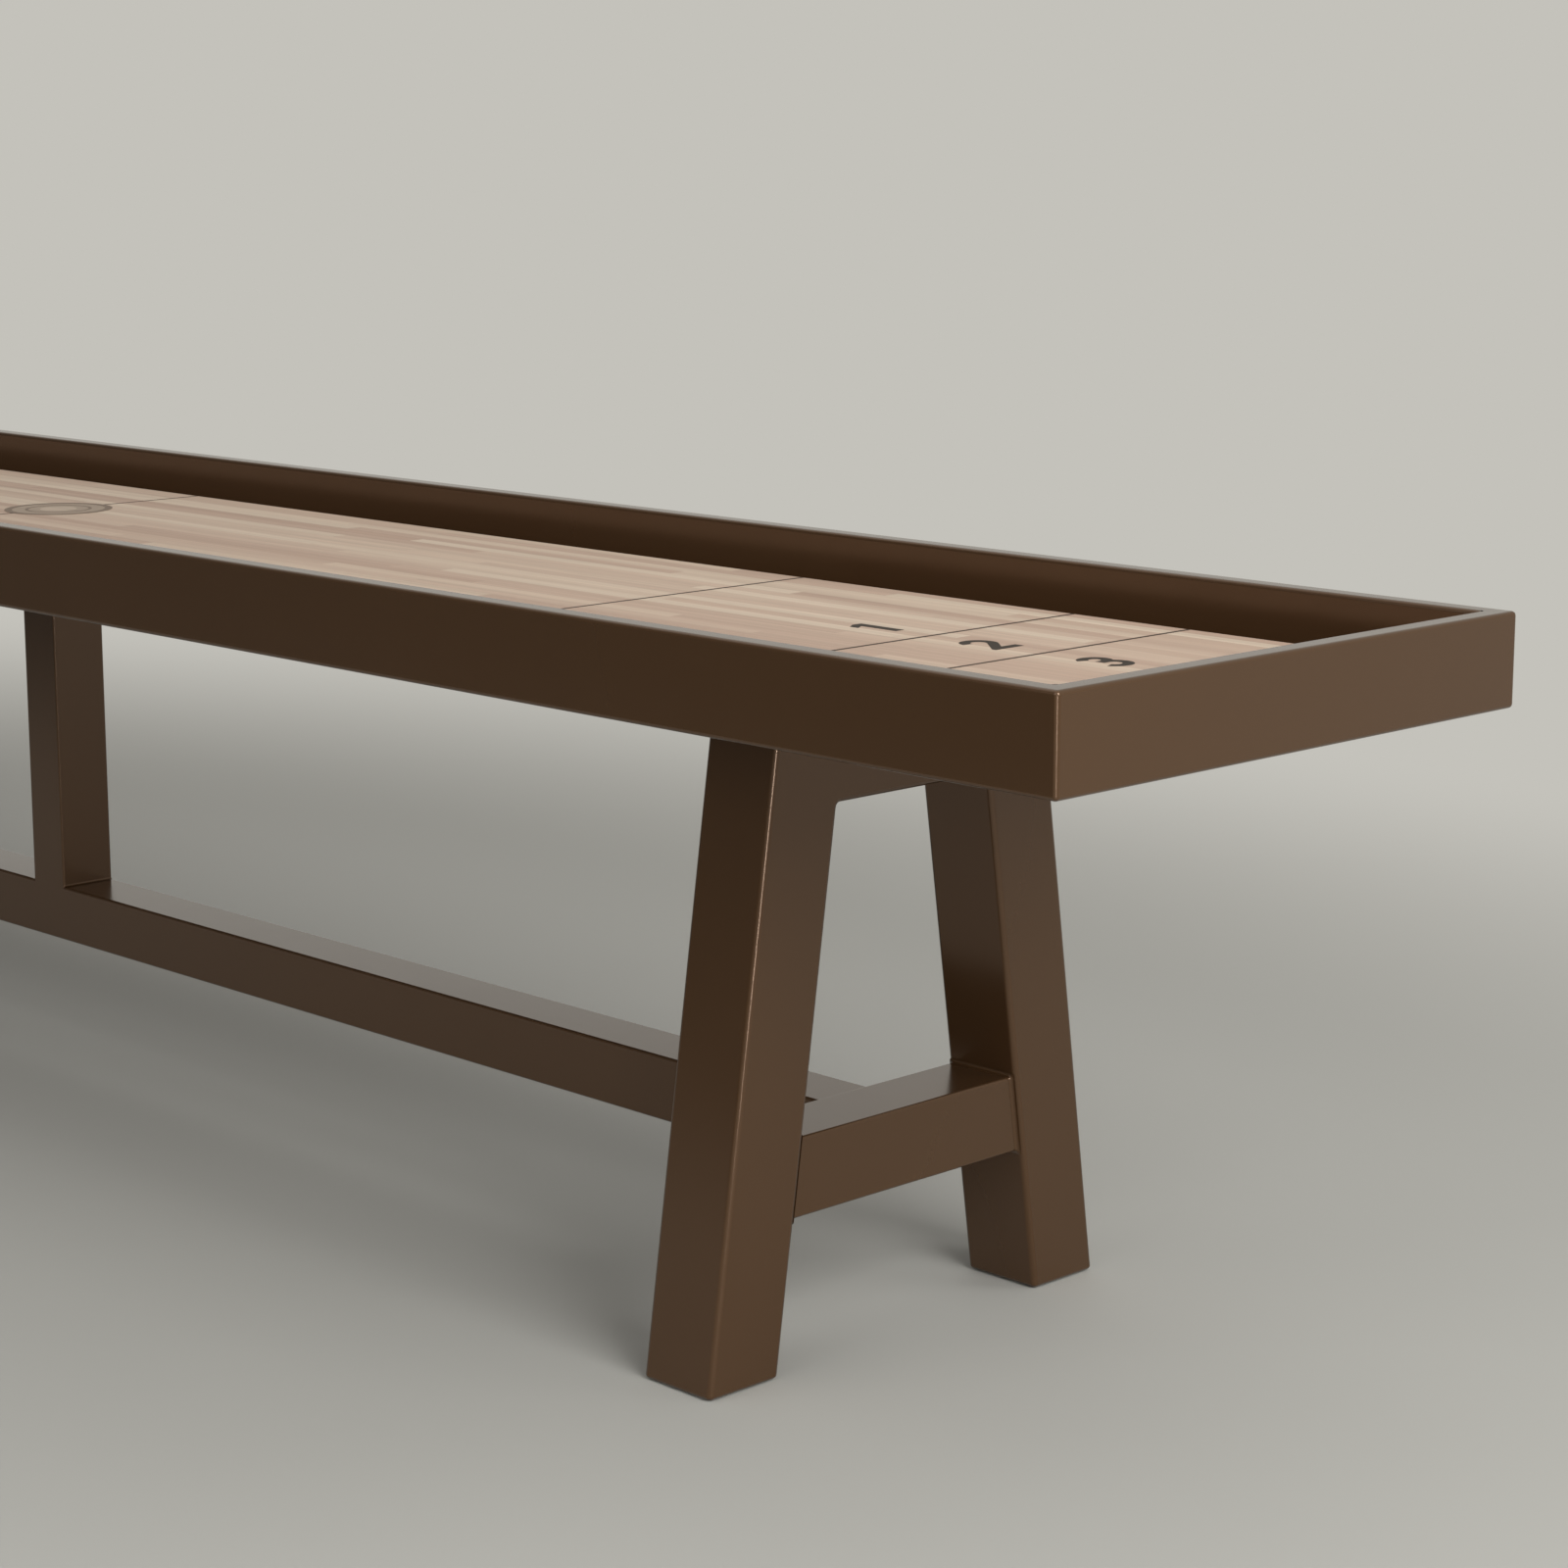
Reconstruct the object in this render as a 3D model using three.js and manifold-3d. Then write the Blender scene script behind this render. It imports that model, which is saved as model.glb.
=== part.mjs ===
// A shuffleboard table: a long shallow tray with a raised playfield, on two splayed trestles
// that a low stretcher and a centre post tie together.
// Millimetres, +Z up, +X along the table, +Y across it. The origin is on the floor, under the
// middle of the table. Near is the -Y side, far the +Y side, left the -X end, right the +X end.

import * as THREE from 'three';
import { mergeVertices } from 'three/addons/utils/BufferGeometryUtils.js';
import Module from 'manifold-3d';

const wasm = await Module();
wasm.setup();

// Clearance and overrun
const fitGap = 0.3; // between two pieces that are welded, bolted or stacked
const cutOverrun = 4; // how far a cutting shape runs past what it cuts

// Tray
const tableLength = 4000;
const tableWidth = 664;
const railTopHeight = 762; // floor to the top of the rails
const railHeight = 94;
const railThickness = 26;
const railWall = 3;
const railEdgeRadius = 4.5;
const railCornerEase = 0.5; // by which upright corners are rounder, outside and inside

// Playfield
const playfieldWidth = 436;
const playfieldThickness = 32;
const playfieldEdgeRadius = 2;
const playfieldCornerEase = 1; // by which its upright corners are rounder than its edges
const endReach = 152; // end of the table to the end of the playfield

// Tray bottom
const crossmemberWidth = 40;
const crossmemberHeight = 20;
const crossmemberWall = 2.5;
const crossmemberEdgeRadius = 4;
const floorThickness = 3;

// Trestle
const trestleInset = 474; // end of the table to the outer face of the legs
const legDepth = 96; // along the table
const legWidth = 95; // across the table, measured level
const legWall = 3;
const legEdgeRadius = 6;
const footSpan = 569; // outside of one foot to outside of the other
const topSpan = 380; // the same at the top of the legs
const footClearance = 1.5; // floor to the cut end of a leg
const footEdgeRadius = 4;
const topBeamHeight = 89;
const cornerWeld = 4.5; // fillet under the top beam, in the corners of the trestle

// Lower crossbar of a trestle
const crossbarDepth = 83;
const crossbarHeight = 82.5;
const crossbarWall = 3;
const crossbarEndRadius = 2.4;
const stretcherAxisHeight = 198.5; // floor to the middle of the crossbars and the stretcher

// Stretcher and centre post
const stretcherWidth = 74;
const stretcherHeight = 71.5;
const stretcherWall = 3;
const postDepth = 71; // along the table
const spigotLength = 90;
const spigotWall = 4;

// Plates
const plateThickness = 6;
const plateCornerRadius = 12;
const plateMargin = 20; // plate edge to a bolt's axis, and trestle side to plate side
const boltReach = 20; // side of a leg or post to a bolt's axis
const plateBoltShare = 0.62; // bolt rows on the trestle's plate, of half its top span

// Bolts, screws and levelling feet
const boltRadius = 4;
const boltHeadRadius = 7.5;
const boltHeadHeight = 5.3;
const boltGrip = 9; // length past the wall that the bolt is screwed into
const screwHeadRadius = 7;
const screwHeadHeight = 4;
const padRadius = 28;
const padThickness = 6;
const padChamfer = 1.2;
const padClearance = 2; // round the pad, in the hole through the foot of the leg
const collarRadius = 11;
const collarHeight = 5;
const stemRadius = 6;
const stemChamfer = 1;
const stemLength = 58; // from the top of the pad
const stemRunningGap = 0.06;
const footPlateThickness = 6;
const bossRadius = 11;
const bossHeight = 10;

// Places of the plain crossmembers on each half of the tray
const middleCrossmemberShares = [0.33, 0.67]; // of the way from the post's pair to the trestle's pair
const endCrossmemberShare = 0.7; // of the way from the trestle's pair to the end of the playfield

// Smoothness
const arcSegments = 2; // each quarter circle of an outline gets twice as many
const bevelSegments = 3;
const roundSides = 16;
const padSides = 24;
const hexSides = 6;

// Sizes worked out from those above
const halfLength = tableLength / 2;
const halfWidth = tableWidth / 2;
const trayBottom = railTopHeight - railHeight;
const innerHalfLength = halfLength - railThickness;
const innerHalfWidth = halfWidth - railThickness;
const floorBottom = trayBottom + crossmemberHeight + fitGap;
const playfieldBottom = floorBottom + floorThickness + fitGap;
const playfieldLength = tableLength - endReach - endReach;
const plateBottom = trayBottom - fitGap - plateThickness;
const frameTop = plateBottom - fitGap; // top of the legs, the top beams and the post
const legHeight = frameTop - footClearance;
const splay = (footSpan - topSpan) / 2 / legHeight; // sideways lean for each unit of height
const splayAngle = Math.atan(splay);
const wallAcross = legWall / Math.cos(splayAngle); // a leg's wall, measured level
const gapAcross = fitGap / Math.cos(splayAngle);
const trestleX = halfLength - trestleInset - legDepth / 2;
const topBeamBottom = frameTop - topBeamHeight;
const crossbarBack = trestleX - crossbarDepth / 2;
const stretcherHalfLength = crossbarBack - fitGap;
const stretcherTop = stretcherAxisHeight + stretcherHeight / 2;
const stretcherBottom = stretcherAxisHeight - stretcherHeight / 2;
const trestleBoltX = legDepth / 2 + boltReach; // from the middle of the trestle
const trestleBoltY = topSpan / 2 * plateBoltShare;
const postBoltX = postDepth / 2 + boltReach;
const boltHoleRadius = boltRadius + fitGap;
const levellingFootY = footSpan / 2 - legWidth / 2; // under the middle of each leg's cut end
const footCapTop = padThickness + collarHeight; // a leg is solid up to here, but for the pad's hole
const footPlateBottom = footCapTop + fitGap;
const screwX = stretcherHalfLength - spigotLength / 2;

// Materials

function coatedMetal() {
	return new THREE.MeshStandardMaterial({ color: 0x4b3728, roughness: 0.36, metalness: 0.35 });
}

function laminatedWood() {
	return new THREE.MeshStandardMaterial({ color: 0xc2a78e, roughness: 0.42, metalness: 0 });
}

function plainSteel() {
	return new THREE.MeshStandardMaterial({ color: 0x9a9c9e, roughness: 0.35, metalness: 1 });
}

function blackRubber() {
	return new THREE.MeshStandardMaterial({ color: 0x1c1b1a, roughness: 0.8, metalness: 0 });
}

// Solids: join and cut

function toSolid(geometry) {
	const bare = geometry.clone();
	bare.deleteAttribute('normal');
	bare.deleteAttribute('uv');
	const merged = mergeVertices(bare);
	return new wasm.Manifold(new wasm.Mesh({
		numProp: 3,
		vertProperties: merged.attributes.position.array,
		triVerts: new Uint32Array(merged.index.array),
	}));
}

function toGeometry(solid) {
	const mesh = solid.getMesh();
	const geometry = new THREE.BufferGeometry();
	geometry.setAttribute('position', new THREE.BufferAttribute(mesh.vertProperties, 3));
	geometry.setIndex(new THREE.BufferAttribute(mesh.triVerts, 1));
	const flat = geometry.toNonIndexed();
	flat.computeVertexNormals();
	return flat;
}

function cut(blank, ...cutters) {
	return cutters.reduce((solid, cutter) => solid.subtract(toSolid(cutter)), blank);
}

function join(blank, ...additions) {
	return additions.reduce((solid, addition) => solid.add(toSolid(addition)), blank);
}

// Outlines and plain bodies

function traceRoundedRect(path, width, height, radius) {
	const x = width / 2 - radius;
	const y = height / 2 - radius;
	const quarter = Math.PI / 2;
	path.absarc(x, y, radius, 0, quarter, false);
	path.absarc(-x, y, radius, quarter, Math.PI, false);
	path.absarc(-x, -y, radius, Math.PI, Math.PI + quarter, false);
	path.absarc(x, -y, radius, Math.PI + quarter, Math.PI + Math.PI, false);
	path.closePath();
	return path;
}

function roundedRect(width, height, radius) {
	return traceRoundedRect(new THREE.Shape(), width, height, radius);
}

function outlineOf(points) {
	return new THREE.Shape(points.map(([x, y]) => new THREE.Vector2(x, y)));
}

// Extrudes a shape along +Z from zero, with both of its end edges rounded if a radius is given.
function extrude(shape, length, edgeRadius = 0) {
	const geometry = new THREE.ExtrudeGeometry(shape, {
		depth: length - edgeRadius - edgeRadius,
		curveSegments: arcSegments,
		bevelEnabled: edgeRadius > 0,
		bevelSegments,
		bevelSize: edgeRadius,
		bevelThickness: edgeRadius,
		bevelOffset: -edgeRadius,
	});
	return geometry.translate(0, 0, edgeRadius);
}

// Turns an extrusion to run along +X, its outline lying in Y and Z.
function alongX(geometry) {
	const turn = new THREE.Matrix4().makeBasis(
		new THREE.Vector3(0, 1, 0),
		new THREE.Vector3(0, 0, 1),
		new THREE.Vector3(1, 0, 0),
	);
	return geometry.applyMatrix4(turn);
}

// Turns an extrusion to run along +Y, its outline lying in Z and X.
function alongY(geometry) {
	const turn = new THREE.Matrix4().makeBasis(
		new THREE.Vector3(0, 0, 1),
		new THREE.Vector3(1, 0, 0),
		new THREE.Vector3(0, 1, 0),
	);
	return geometry.applyMatrix4(turn);
}

// An upright cylinder that stands on zero.
function cylinder(radius, height, sides) {
	const geometry = new THREE.CylinderGeometry(radius, radius, height, sides);
	return geometry.rotateX(Math.PI / 2).translate(0, 0, height / 2);
}

function boreRadius(edgeRadius, wall) {
	return Math.max(edgeRadius - wall, edgeRadius / 4);
}

function named(name, geometry, material, x = 0, y = 0, z = 0) {
	const mesh = new THREE.Mesh(geometry, material);
	mesh.name = name;
	mesh.position.set(x, y, z);
	return mesh;
}

// Tray: four hollow rails with mitred corners

// The closed frame that the four rails make together, hollow inside, standing on zero.
function railRing() {
	const cornerRadius = railEdgeRadius + railCornerEase;
	const outline = roundedRect(tableLength, tableWidth, cornerRadius);
	const opening = new THREE.Path();
	traceRoundedRect(opening, innerHalfLength * 2, innerHalfWidth * 2, railCornerEase);
	outline.holes.push(opening);

	const bore = boreRadius(railEdgeRadius, railWall);
	const boreLength = tableLength - railWall - railWall;
	const boreWidth = tableWidth - railWall - railWall;
	const boreBand = railThickness - railWall - railWall;
	const hollow = roundedRect(boreLength, boreWidth, bore);
	const core = new THREE.Path();
	traceRoundedRect(core, boreLength - boreBand - boreBand, boreWidth - boreBand - boreBand, bore);
	hollow.holes.push(core);
	const hollowBody = extrude(hollow, railHeight - railWall - railWall).translate(0, 0, railWall);

	return cut(toSolid(extrude(outline, railHeight, railEdgeRadius)), hollowBody);
}

// Cuts one rail out of the ring, between the mitres at the ends of the side that faces outwards.
// The side runs along the first axis of the outline, which turn swings to where the rail lies.
function mitredRail(ring, sideHalfLength, sideDistance, turn) {
	const depth = railThickness + cutOverrun;
	const mitreGap = fitGap / 2 * Math.SQRT2;
	const outer = sideHalfLength + cutOverrun - mitreGap;
	const inner = sideHalfLength - depth - mitreGap;
	const wedge = outlineOf([
		[-outer, -sideDistance - cutOverrun],
		[outer, -sideDistance - cutOverrun],
		[inner, -sideDistance + depth],
		[-inner, -sideDistance + depth],
	]);
	const tool = extrude(wedge, railHeight + cutOverrun + cutOverrun).translate(0, 0, -cutOverrun);
	tool.rotateZ(turn);
	return toGeometry(ring.intersect(toSolid(tool)));
}

function rails() {
	const ring = railRing();
	const quarter = Math.PI / 2;
	const sides = [
		['near_rail', halfLength, halfWidth, 0],
		['right_end_rail', halfWidth, halfLength, quarter],
		['far_rail', halfLength, halfWidth, Math.PI],
		['left_end_rail', halfWidth, halfLength, -quarter],
	];
	return sides.map(([name, sideHalfLength, sideDistance, turn]) => {
		const geometry = mitredRail(ring, sideHalfLength, sideDistance, turn);
		return named(name, geometry, coatedMetal(), 0, 0, trayBottom);
	});
}

// Tray bottom: crossmembers, floor panels and the playfield

// Where the crossmembers of one half stand, from the middle of the table outwards.
// Each says how far from the near and far side its bolt holes lie, if it has any.
function crossmemberPlaces() {
	const first = trestleX - trestleBoltX;
	const second = trestleX + trestleBoltX;
	const fieldEnd = playfieldLength / 2;
	const middle = middleCrossmemberShares.map((share) => {
		return { x: postBoltX + (first - postBoltX) * share, bolts: [] };
	});
	return [
		{ x: postBoltX, bolts: [0] },
		...middle,
		{ x: first, bolts: [-trestleBoltY, trestleBoltY] },
		{ x: second, bolts: [-trestleBoltY, trestleBoltY] },
		{ x: second + (fieldEnd - second) * endCrossmemberShare, bolts: [] },
	];
}

// A flat tube across the tray, with a hole through its lower wall for each bolt.
function crossmemberGeometry(bolts) {
	const length = innerHalfWidth + innerHalfWidth - fitGap - fitGap;
	const section = roundedRect(crossmemberHeight, crossmemberWidth, crossmemberEdgeRadius);
	const boreHeight = crossmemberHeight - crossmemberWall - crossmemberWall;
	const boreWidth = crossmemberWidth - crossmemberWall - crossmemberWall;
	const boreEdgeRadius = boreRadius(crossmemberEdgeRadius, crossmemberWall);
	const boreSection = roundedRect(boreHeight, boreWidth, boreEdgeRadius);
	const blank = alongY(extrude(section, length)).translate(0, -length / 2, 0);
	const boreLength = length + cutOverrun + cutOverrun;
	const bore = alongY(extrude(boreSection, boreLength)).translate(0, -boreLength / 2, 0);
	const drillTop = crossmemberHeight / 2;
	const holes = bolts.map((y) => {
		const drill = cylinder(boltHoleRadius, drillTop + cutOverrun, roundSides);
		return drill.translate(0, y, -drillTop - cutOverrun);
	});
	return toGeometry(cut(toSolid(blank), bore, ...holes));
}

function crossmembers() {
	const height = trayBottom + crossmemberHeight / 2;
	const meshes = [];
	for (const [side, sign] of [['left', -1], ['right', 1]]) {
		crossmemberPlaces().forEach(({ x, bolts }, index) => {
			const name = `${side}_crossmember_${index + 1}`;
			meshes.push(named(name, crossmemberGeometry(bolts), coatedMetal(), sign * x, 0, height));
		});
	}
	return meshes;
}

// Two sheets on the crossmembers are the floor of the gutters. They meet at the middle.
function gutterFloors() {
	const length = innerHalfLength - fitGap - fitGap / 2;
	const width = innerHalfWidth + innerHalfWidth - fitGap - fitGap;
	const x = fitGap / 2 + length / 2;
	const z = floorBottom + floorThickness / 2;
	return [['left', -1], ['right', 1]].map(([side, sign]) => {
		const sheet = new THREE.BoxGeometry(length, width, floorThickness);
		return named(`${side}_gutter_floor`, sheet, coatedMetal(), sign * x, 0, z);
	});
}

function playfield() {
	const outline = roundedRect(playfieldLength, playfieldWidth, playfieldEdgeRadius + playfieldCornerEase);
	const board = extrude(outline, playfieldThickness, playfieldEdgeRadius);
	return named('playfield', board, laminatedWood(), 0, 0, playfieldBottom);
}

// Trestle: two splayed legs, the top beam, the lower crossbar and the mounting plate.
// Each is drawn with the trestle's middle at x = 0 and its outer face towards +X.

// Leans an upright body inwards with height, for the leg on the side that sign gives.
function lean(geometry, sign) {
	return geometry.applyMatrix4(new THREE.Matrix4().makeShear(0, 0, 0, 0, 0, -sign * splay));
}

// A body that follows a leg between two heights, grown or shrunk evenly from the leg's outline.
function legBody(sign, bottom, top, growDepth, growWidth, edgeRadius, endRadius = 0) {
	const section = roundedRect(legDepth + growDepth, legWidth + growWidth, edgeRadius);
	const body = extrude(section, top - bottom, endRadius).translate(0, 0, bottom);
	const axisAtFloor = footSpan / 2 + splay * footClearance - legWidth / 2;
	return lean(body, sign).translate(0, sign * axisAtFloor, 0);
}

function legBore(sign, bottom, top, clearance) {
	const shrinkDepth = -(legWall + clearance) * 2;
	const shrinkWidth = -(wallAcross + clearance) * 2;
	return legBody(sign, bottom, top, shrinkDepth, shrinkWidth, boreRadius(legEdgeRadius, legWall));
}

// A leg is cut level at both ends. Its foot is capped and rounded, with a hole that the pad of the
// levelling foot draws back into. Its top is hidden and sharp.
function legGeometry(sign) {
	const blankTop = frameTop + footEdgeRadius + cutOverrun;
	const blank = legBody(sign, footClearance, blankTop, 0, 0, legEdgeRadius, footEdgeRadius);
	const bore = legBore(sign, footCapTop, blankTop + cutOverrun, 0);
	const padHole = cylinder(padRadius + padClearance, footCapTop + cutOverrun, padSides);
	padHole.translate(0, sign * levellingFootY, 0);
	const saw = new THREE.BoxGeometry(legDepth + cutOverrun, tableWidth, frameTop);
	saw.translate(0, 0, frameTop + frameTop / 2);
	return toGeometry(cut(toSolid(blank), bore, padHole, saw));
}

// The room that a leg takes, with the fitting gap all round it.
function legRoom(sign) {
	const grow = fitGap * 2;
	return legBody(sign, -cutOverrun, frameTop + cutOverrun, grow, grow, legEdgeRadius + fitGap);
}

// Distance from the middle of the trestle to a leg's inner face at a height.
function innerFaceAt(height) {
	return footSpan / 2 - legWidth - splay * (height - footClearance);
}

// The hollow fillet that fills the corner between a leg and the top beam.
function weldBody(sign) {
	const corner = innerFaceAt(topBeamBottom);
	const foot = innerFaceAt(topBeamBottom - cornerWeld);
	const root = topBeamBottom + legWall / 2;
	const shape = new THREE.Shape();
	shape.moveTo(sign * (corner - cornerWeld), root);
	shape.lineTo(sign * (corner - cornerWeld), topBeamBottom);
	shape.quadraticCurveTo(sign * corner, topBeamBottom, sign * foot, topBeamBottom - cornerWeld);
	shape.lineTo(sign * (foot + cutOverrun), topBeamBottom - cornerWeld);
	shape.lineTo(sign * (foot + cutOverrun), root);
	shape.closePath();
	const length = legDepth - legEdgeRadius - legEdgeRadius;
	return alongX(extrude(shape, length)).translate(-length / 2, 0, 0);
}

// The top beam is a level tube, flush with the legs on both faces and scribed to them.
function topBeamGeometry() {
	const middle = topBeamBottom + topBeamHeight / 2;
	const reach = innerFaceAt(topBeamBottom) + legWidth / 2;
	const section = roundedRect(topBeamHeight, legDepth, legEdgeRadius);
	const boreHeight = topBeamHeight - legWall - legWall;
	const boreDepth = legDepth - legWall - legWall;
	const boreSection = roundedRect(boreHeight, boreDepth, boreRadius(legEdgeRadius, legWall));
	const blank = alongY(extrude(section, reach + reach)).translate(0, -reach, middle);
	const boreReach = reach + cutOverrun;
	const bore = alongY(extrude(boreSection, boreReach + boreReach)).translate(0, -boreReach, middle);
	const beam = cut(join(toSolid(blank), weldBody(-1), weldBody(1)), bore, legRoom(-1), legRoom(1));
	return toGeometry(beam);
}

// Narrows a level bar with height, so that its ends lie along the slope of the legs.
function taperToLegs(geometry, atHeight) {
	const place = geometry.attributes.position;
	const drawn = innerFaceAt(atHeight) - gapAcross;
	for (let i = 0; i < place.count; i += 1) {
		const wanted = innerFaceAt(atHeight + place.getZ(i)) - gapAcross;
		place.setY(i, place.getY(i) * wanted / drawn);
	}
	return geometry;
}

// The lower crossbar is drawn around its own axis, at the height of the stretcher.
function crossbarGeometry() {
	const reach = innerFaceAt(stretcherAxisHeight) - gapAcross;
	const section = roundedRect(crossbarHeight, crossbarDepth, legEdgeRadius);
	const boreHeight = crossbarHeight - crossbarWall - crossbarWall;
	const boreDepth = crossbarDepth - crossbarWall - crossbarWall;
	const boreSection = roundedRect(boreHeight, boreDepth, boreRadius(legEdgeRadius, crossbarWall));
	const blank = alongY(extrude(section, reach + reach, crossbarEndRadius)).translate(0, -reach, 0);
	const boreReach = footSpan / 2;
	const bore = alongY(extrude(boreSection, boreReach + boreReach)).translate(0, -boreReach, 0);
	return toGeometry(cut(toSolid(taperToLegs(blank, stretcherAxisHeight)), bore));
}

// A flat plate that stands on zero, drilled at each of the given places.
function plateGeometry(length, width, places) {
	const outline = roundedRect(length, width, plateCornerRadius);
	const drills = places.map(([x, y]) => {
		const drill = cylinder(boltHoleRadius, plateThickness + cutOverrun + cutOverrun, roundSides);
		return drill.translate(x, y, -cutOverrun);
	});
	return toGeometry(cut(toSolid(extrude(outline, plateThickness)), ...drills));
}

// A hexagon bolt, head down, whose head ends at zero and whose shank rises from there.
function boltGeometry() {
	const length = fitGap + plateThickness + fitGap + crossmemberWall + boltGrip;
	const shank = cylinder(boltRadius, length + boltHeadHeight / 2, roundSides);
	const head = cylinder(boltHeadRadius, boltHeadHeight, hexSides).translate(0, 0, -boltHeadHeight);
	return toGeometry(join(toSolid(head), shank.translate(0, 0, -boltHeadHeight / 2)));
}

// The plate in the foot of a leg, with the threaded boss that carries the levelling foot.
function footPlateGeometry(sign) {
	const top = footPlateBottom + footPlateThickness;
	const plate = legBore(sign, footPlateBottom, top, fitGap);
	const y = sign * levellingFootY;
	const boss = cylinder(bossRadius, bossHeight + footPlateThickness / 2, roundSides);
	boss.translate(0, y, top - footPlateThickness / 2);
	const drill = cylinder(stemRadius + stemRunningGap, top + bossHeight + cutOverrun, roundSides);
	drill.translate(0, y, 0);
	return toGeometry(cut(join(toSolid(plate), boss), drill));
}

// The pad of a levelling foot, standing on zero.
function padGeometry() {
	const profile = [
		[0, 0],
		[padRadius - padChamfer, 0],
		[padRadius, padChamfer],
		[padRadius, padThickness - padChamfer],
		[padRadius - padChamfer, padThickness],
		[0, padThickness],
	];
	const points = profile.map(([radius, height]) => new THREE.Vector2(radius, height));
	return new THREE.LatheGeometry(points, padSides).rotateX(Math.PI / 2);
}

// The threaded stem of a levelling foot, with the hexagon collar that rests on the pad at zero.
function stemGeometry() {
	const profile = [
		[0, collarHeight / 2],
		[stemRadius, collarHeight / 2],
		[stemRadius, stemLength - stemChamfer],
		[stemRadius - stemChamfer, stemLength],
		[0, stemLength],
	];
	const points = profile.map(([radius, height]) => new THREE.Vector2(radius, height));
	const stem = new THREE.LatheGeometry(points, roundSides).rotateX(Math.PI / 2);
	return toGeometry(join(toSolid(cylinder(collarRadius, collarHeight, hexSides)), stem));
}

// One trestle. Turned half round, the same trestle stands at the left end.
function trestle(side) {
	const group = new THREE.Group();
	const turned = side === 'left';
	const sideNames = turned ? { near: 1, far: -1 } : { near: -1, far: 1 };
	for (const [name, sign] of Object.entries(sideNames)) {
		const footY = sign * levellingFootY;
		group.add(
			named(`${side}_${name}_leg`, legGeometry(sign), coatedMetal()),
			named(`${side}_${name}_foot_plate`, footPlateGeometry(sign), coatedMetal()),
			named(`${side}_${name}_foot_pad`, padGeometry(), blackRubber(), 0, footY, 0),
			named(`${side}_${name}_foot_stem`, stemGeometry(), plainSteel(), 0, footY, padThickness),
		);
	}
	group.add(
		named(`${side}_top_beam`, topBeamGeometry(), coatedMetal()),
		named(`${side}_lower_crossbar`, crossbarGeometry(), coatedMetal(), 0, 0, stretcherAxisHeight),
	);
	const corners = [[-1, -1], [1, -1], [-1, 1], [1, 1]];
	const places = corners.map(([x, y]) => [x * trestleBoltX, y * trestleBoltY]);
	const plateLength = (trestleBoltX + plateMargin) * 2;
	const plateWidth = topSpan + plateMargin;
	const plate = plateGeometry(plateLength, plateWidth, places);
	group.add(named(`${side}_mounting_plate`, plate, coatedMetal(), 0, 0, plateBottom));
	places.forEach(([x, y], index) => {
		const name = `${side}_plate_bolt_${index + 1}`;
		group.add(named(name, boltGeometry(), plainSteel(), x, y, plateBottom - fitGap));
	});
	group.position.x = turned ? -trestleX : trestleX;
	group.rotation.z = turned ? Math.PI : 0;
	return group;
}

// Stretcher with its end spigots, and the centre post

function squareTube(width, height, wall, length) {
	const bore = roundedRect(width - wall - wall, height - wall - wall, boreRadius(legEdgeRadius, wall));
	const boreBody = extrude(bore, length + cutOverrun + cutOverrun).translate(0, 0, -cutOverrun);
	return cut(toSolid(extrude(roundedRect(width, height, legEdgeRadius), length)), boreBody);
}

function stretcher() {
	const length = stretcherHalfLength + stretcherHalfLength;
	const drills = [-screwX, screwX].map((x) => {
		const drill = cylinder(boltHoleRadius, stretcherHeight / 2 + cutOverrun, roundSides);
		return drill.translate(x, 0, -stretcherHeight / 2 - cutOverrun);
	});
	const tube = toGeometry(squareTube(stretcherWidth, stretcherHeight, stretcherWall, length));
	const geometry = cut(toSolid(alongX(tube).translate(-stretcherHalfLength, 0, 0)), ...drills);
	return named('stretcher', toGeometry(geometry), coatedMetal(), 0, 0, stretcherAxisHeight);
}

// A short sleeve on the back of the lower crossbar, over which the stretcher slides.
function spigotGeometry() {
	const width = stretcherWidth - (stretcherWall + fitGap) * 2;
	const height = stretcherHeight - (stretcherWall + fitGap) * 2;
	const edgeRadius = boreRadius(legEdgeRadius, stretcherWall);
	const bore = roundedRect(width - spigotWall * 2, height - spigotWall * 2, edgeRadius / 2);
	const boreBody = extrude(bore, spigotLength + cutOverrun + cutOverrun).translate(0, 0, -cutOverrun);
	const sleeve = cut(toSolid(extrude(roundedRect(width, height, edgeRadius), spigotLength)), boreBody);
	const body = alongX(toGeometry(sleeve)).translate(-spigotLength / 2, 0, 0);
	const drill = cylinder(boltHoleRadius, height / 2 + cutOverrun, roundSides);
	return toGeometry(cut(toSolid(body), drill.translate(0, 0, -height / 2 - cutOverrun)));
}

// A round-headed screw from below, through the stretcher into the spigot.
function screwGeometry() {
	const length = fitGap + stretcherWall + fitGap + spigotWall + boltGrip;
	const shank = cylinder(boltRadius, length + screwHeadHeight / 2, roundSides);
	const dome = new THREE.QuadraticBezierCurve(
		new THREE.Vector2(0, -screwHeadHeight),
		new THREE.Vector2(screwHeadRadius, -screwHeadHeight),
		new THREE.Vector2(screwHeadRadius, 0),
	);
	const points = [...dome.getPoints(bevelSegments), new THREE.Vector2(0, 0)];
	const head = new THREE.LatheGeometry(points, roundSides).rotateX(Math.PI / 2);
	return toGeometry(join(toSolid(head), shank.translate(0, 0, -screwHeadHeight / 2)));
}

function spigots() {
	const meshes = [];
	for (const [side, sign] of [['left', -1], ['right', 1]]) {
		const x = sign * screwX;
		meshes.push(
			named(`${side}_stretcher_spigot`, spigotGeometry(), coatedMetal(), x, 0, stretcherAxisHeight),
			named(`${side}_stretcher_screw`, screwGeometry(), plainSteel(), x, 0, stretcherBottom - fitGap),
		);
	}
	return meshes;
}

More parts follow.
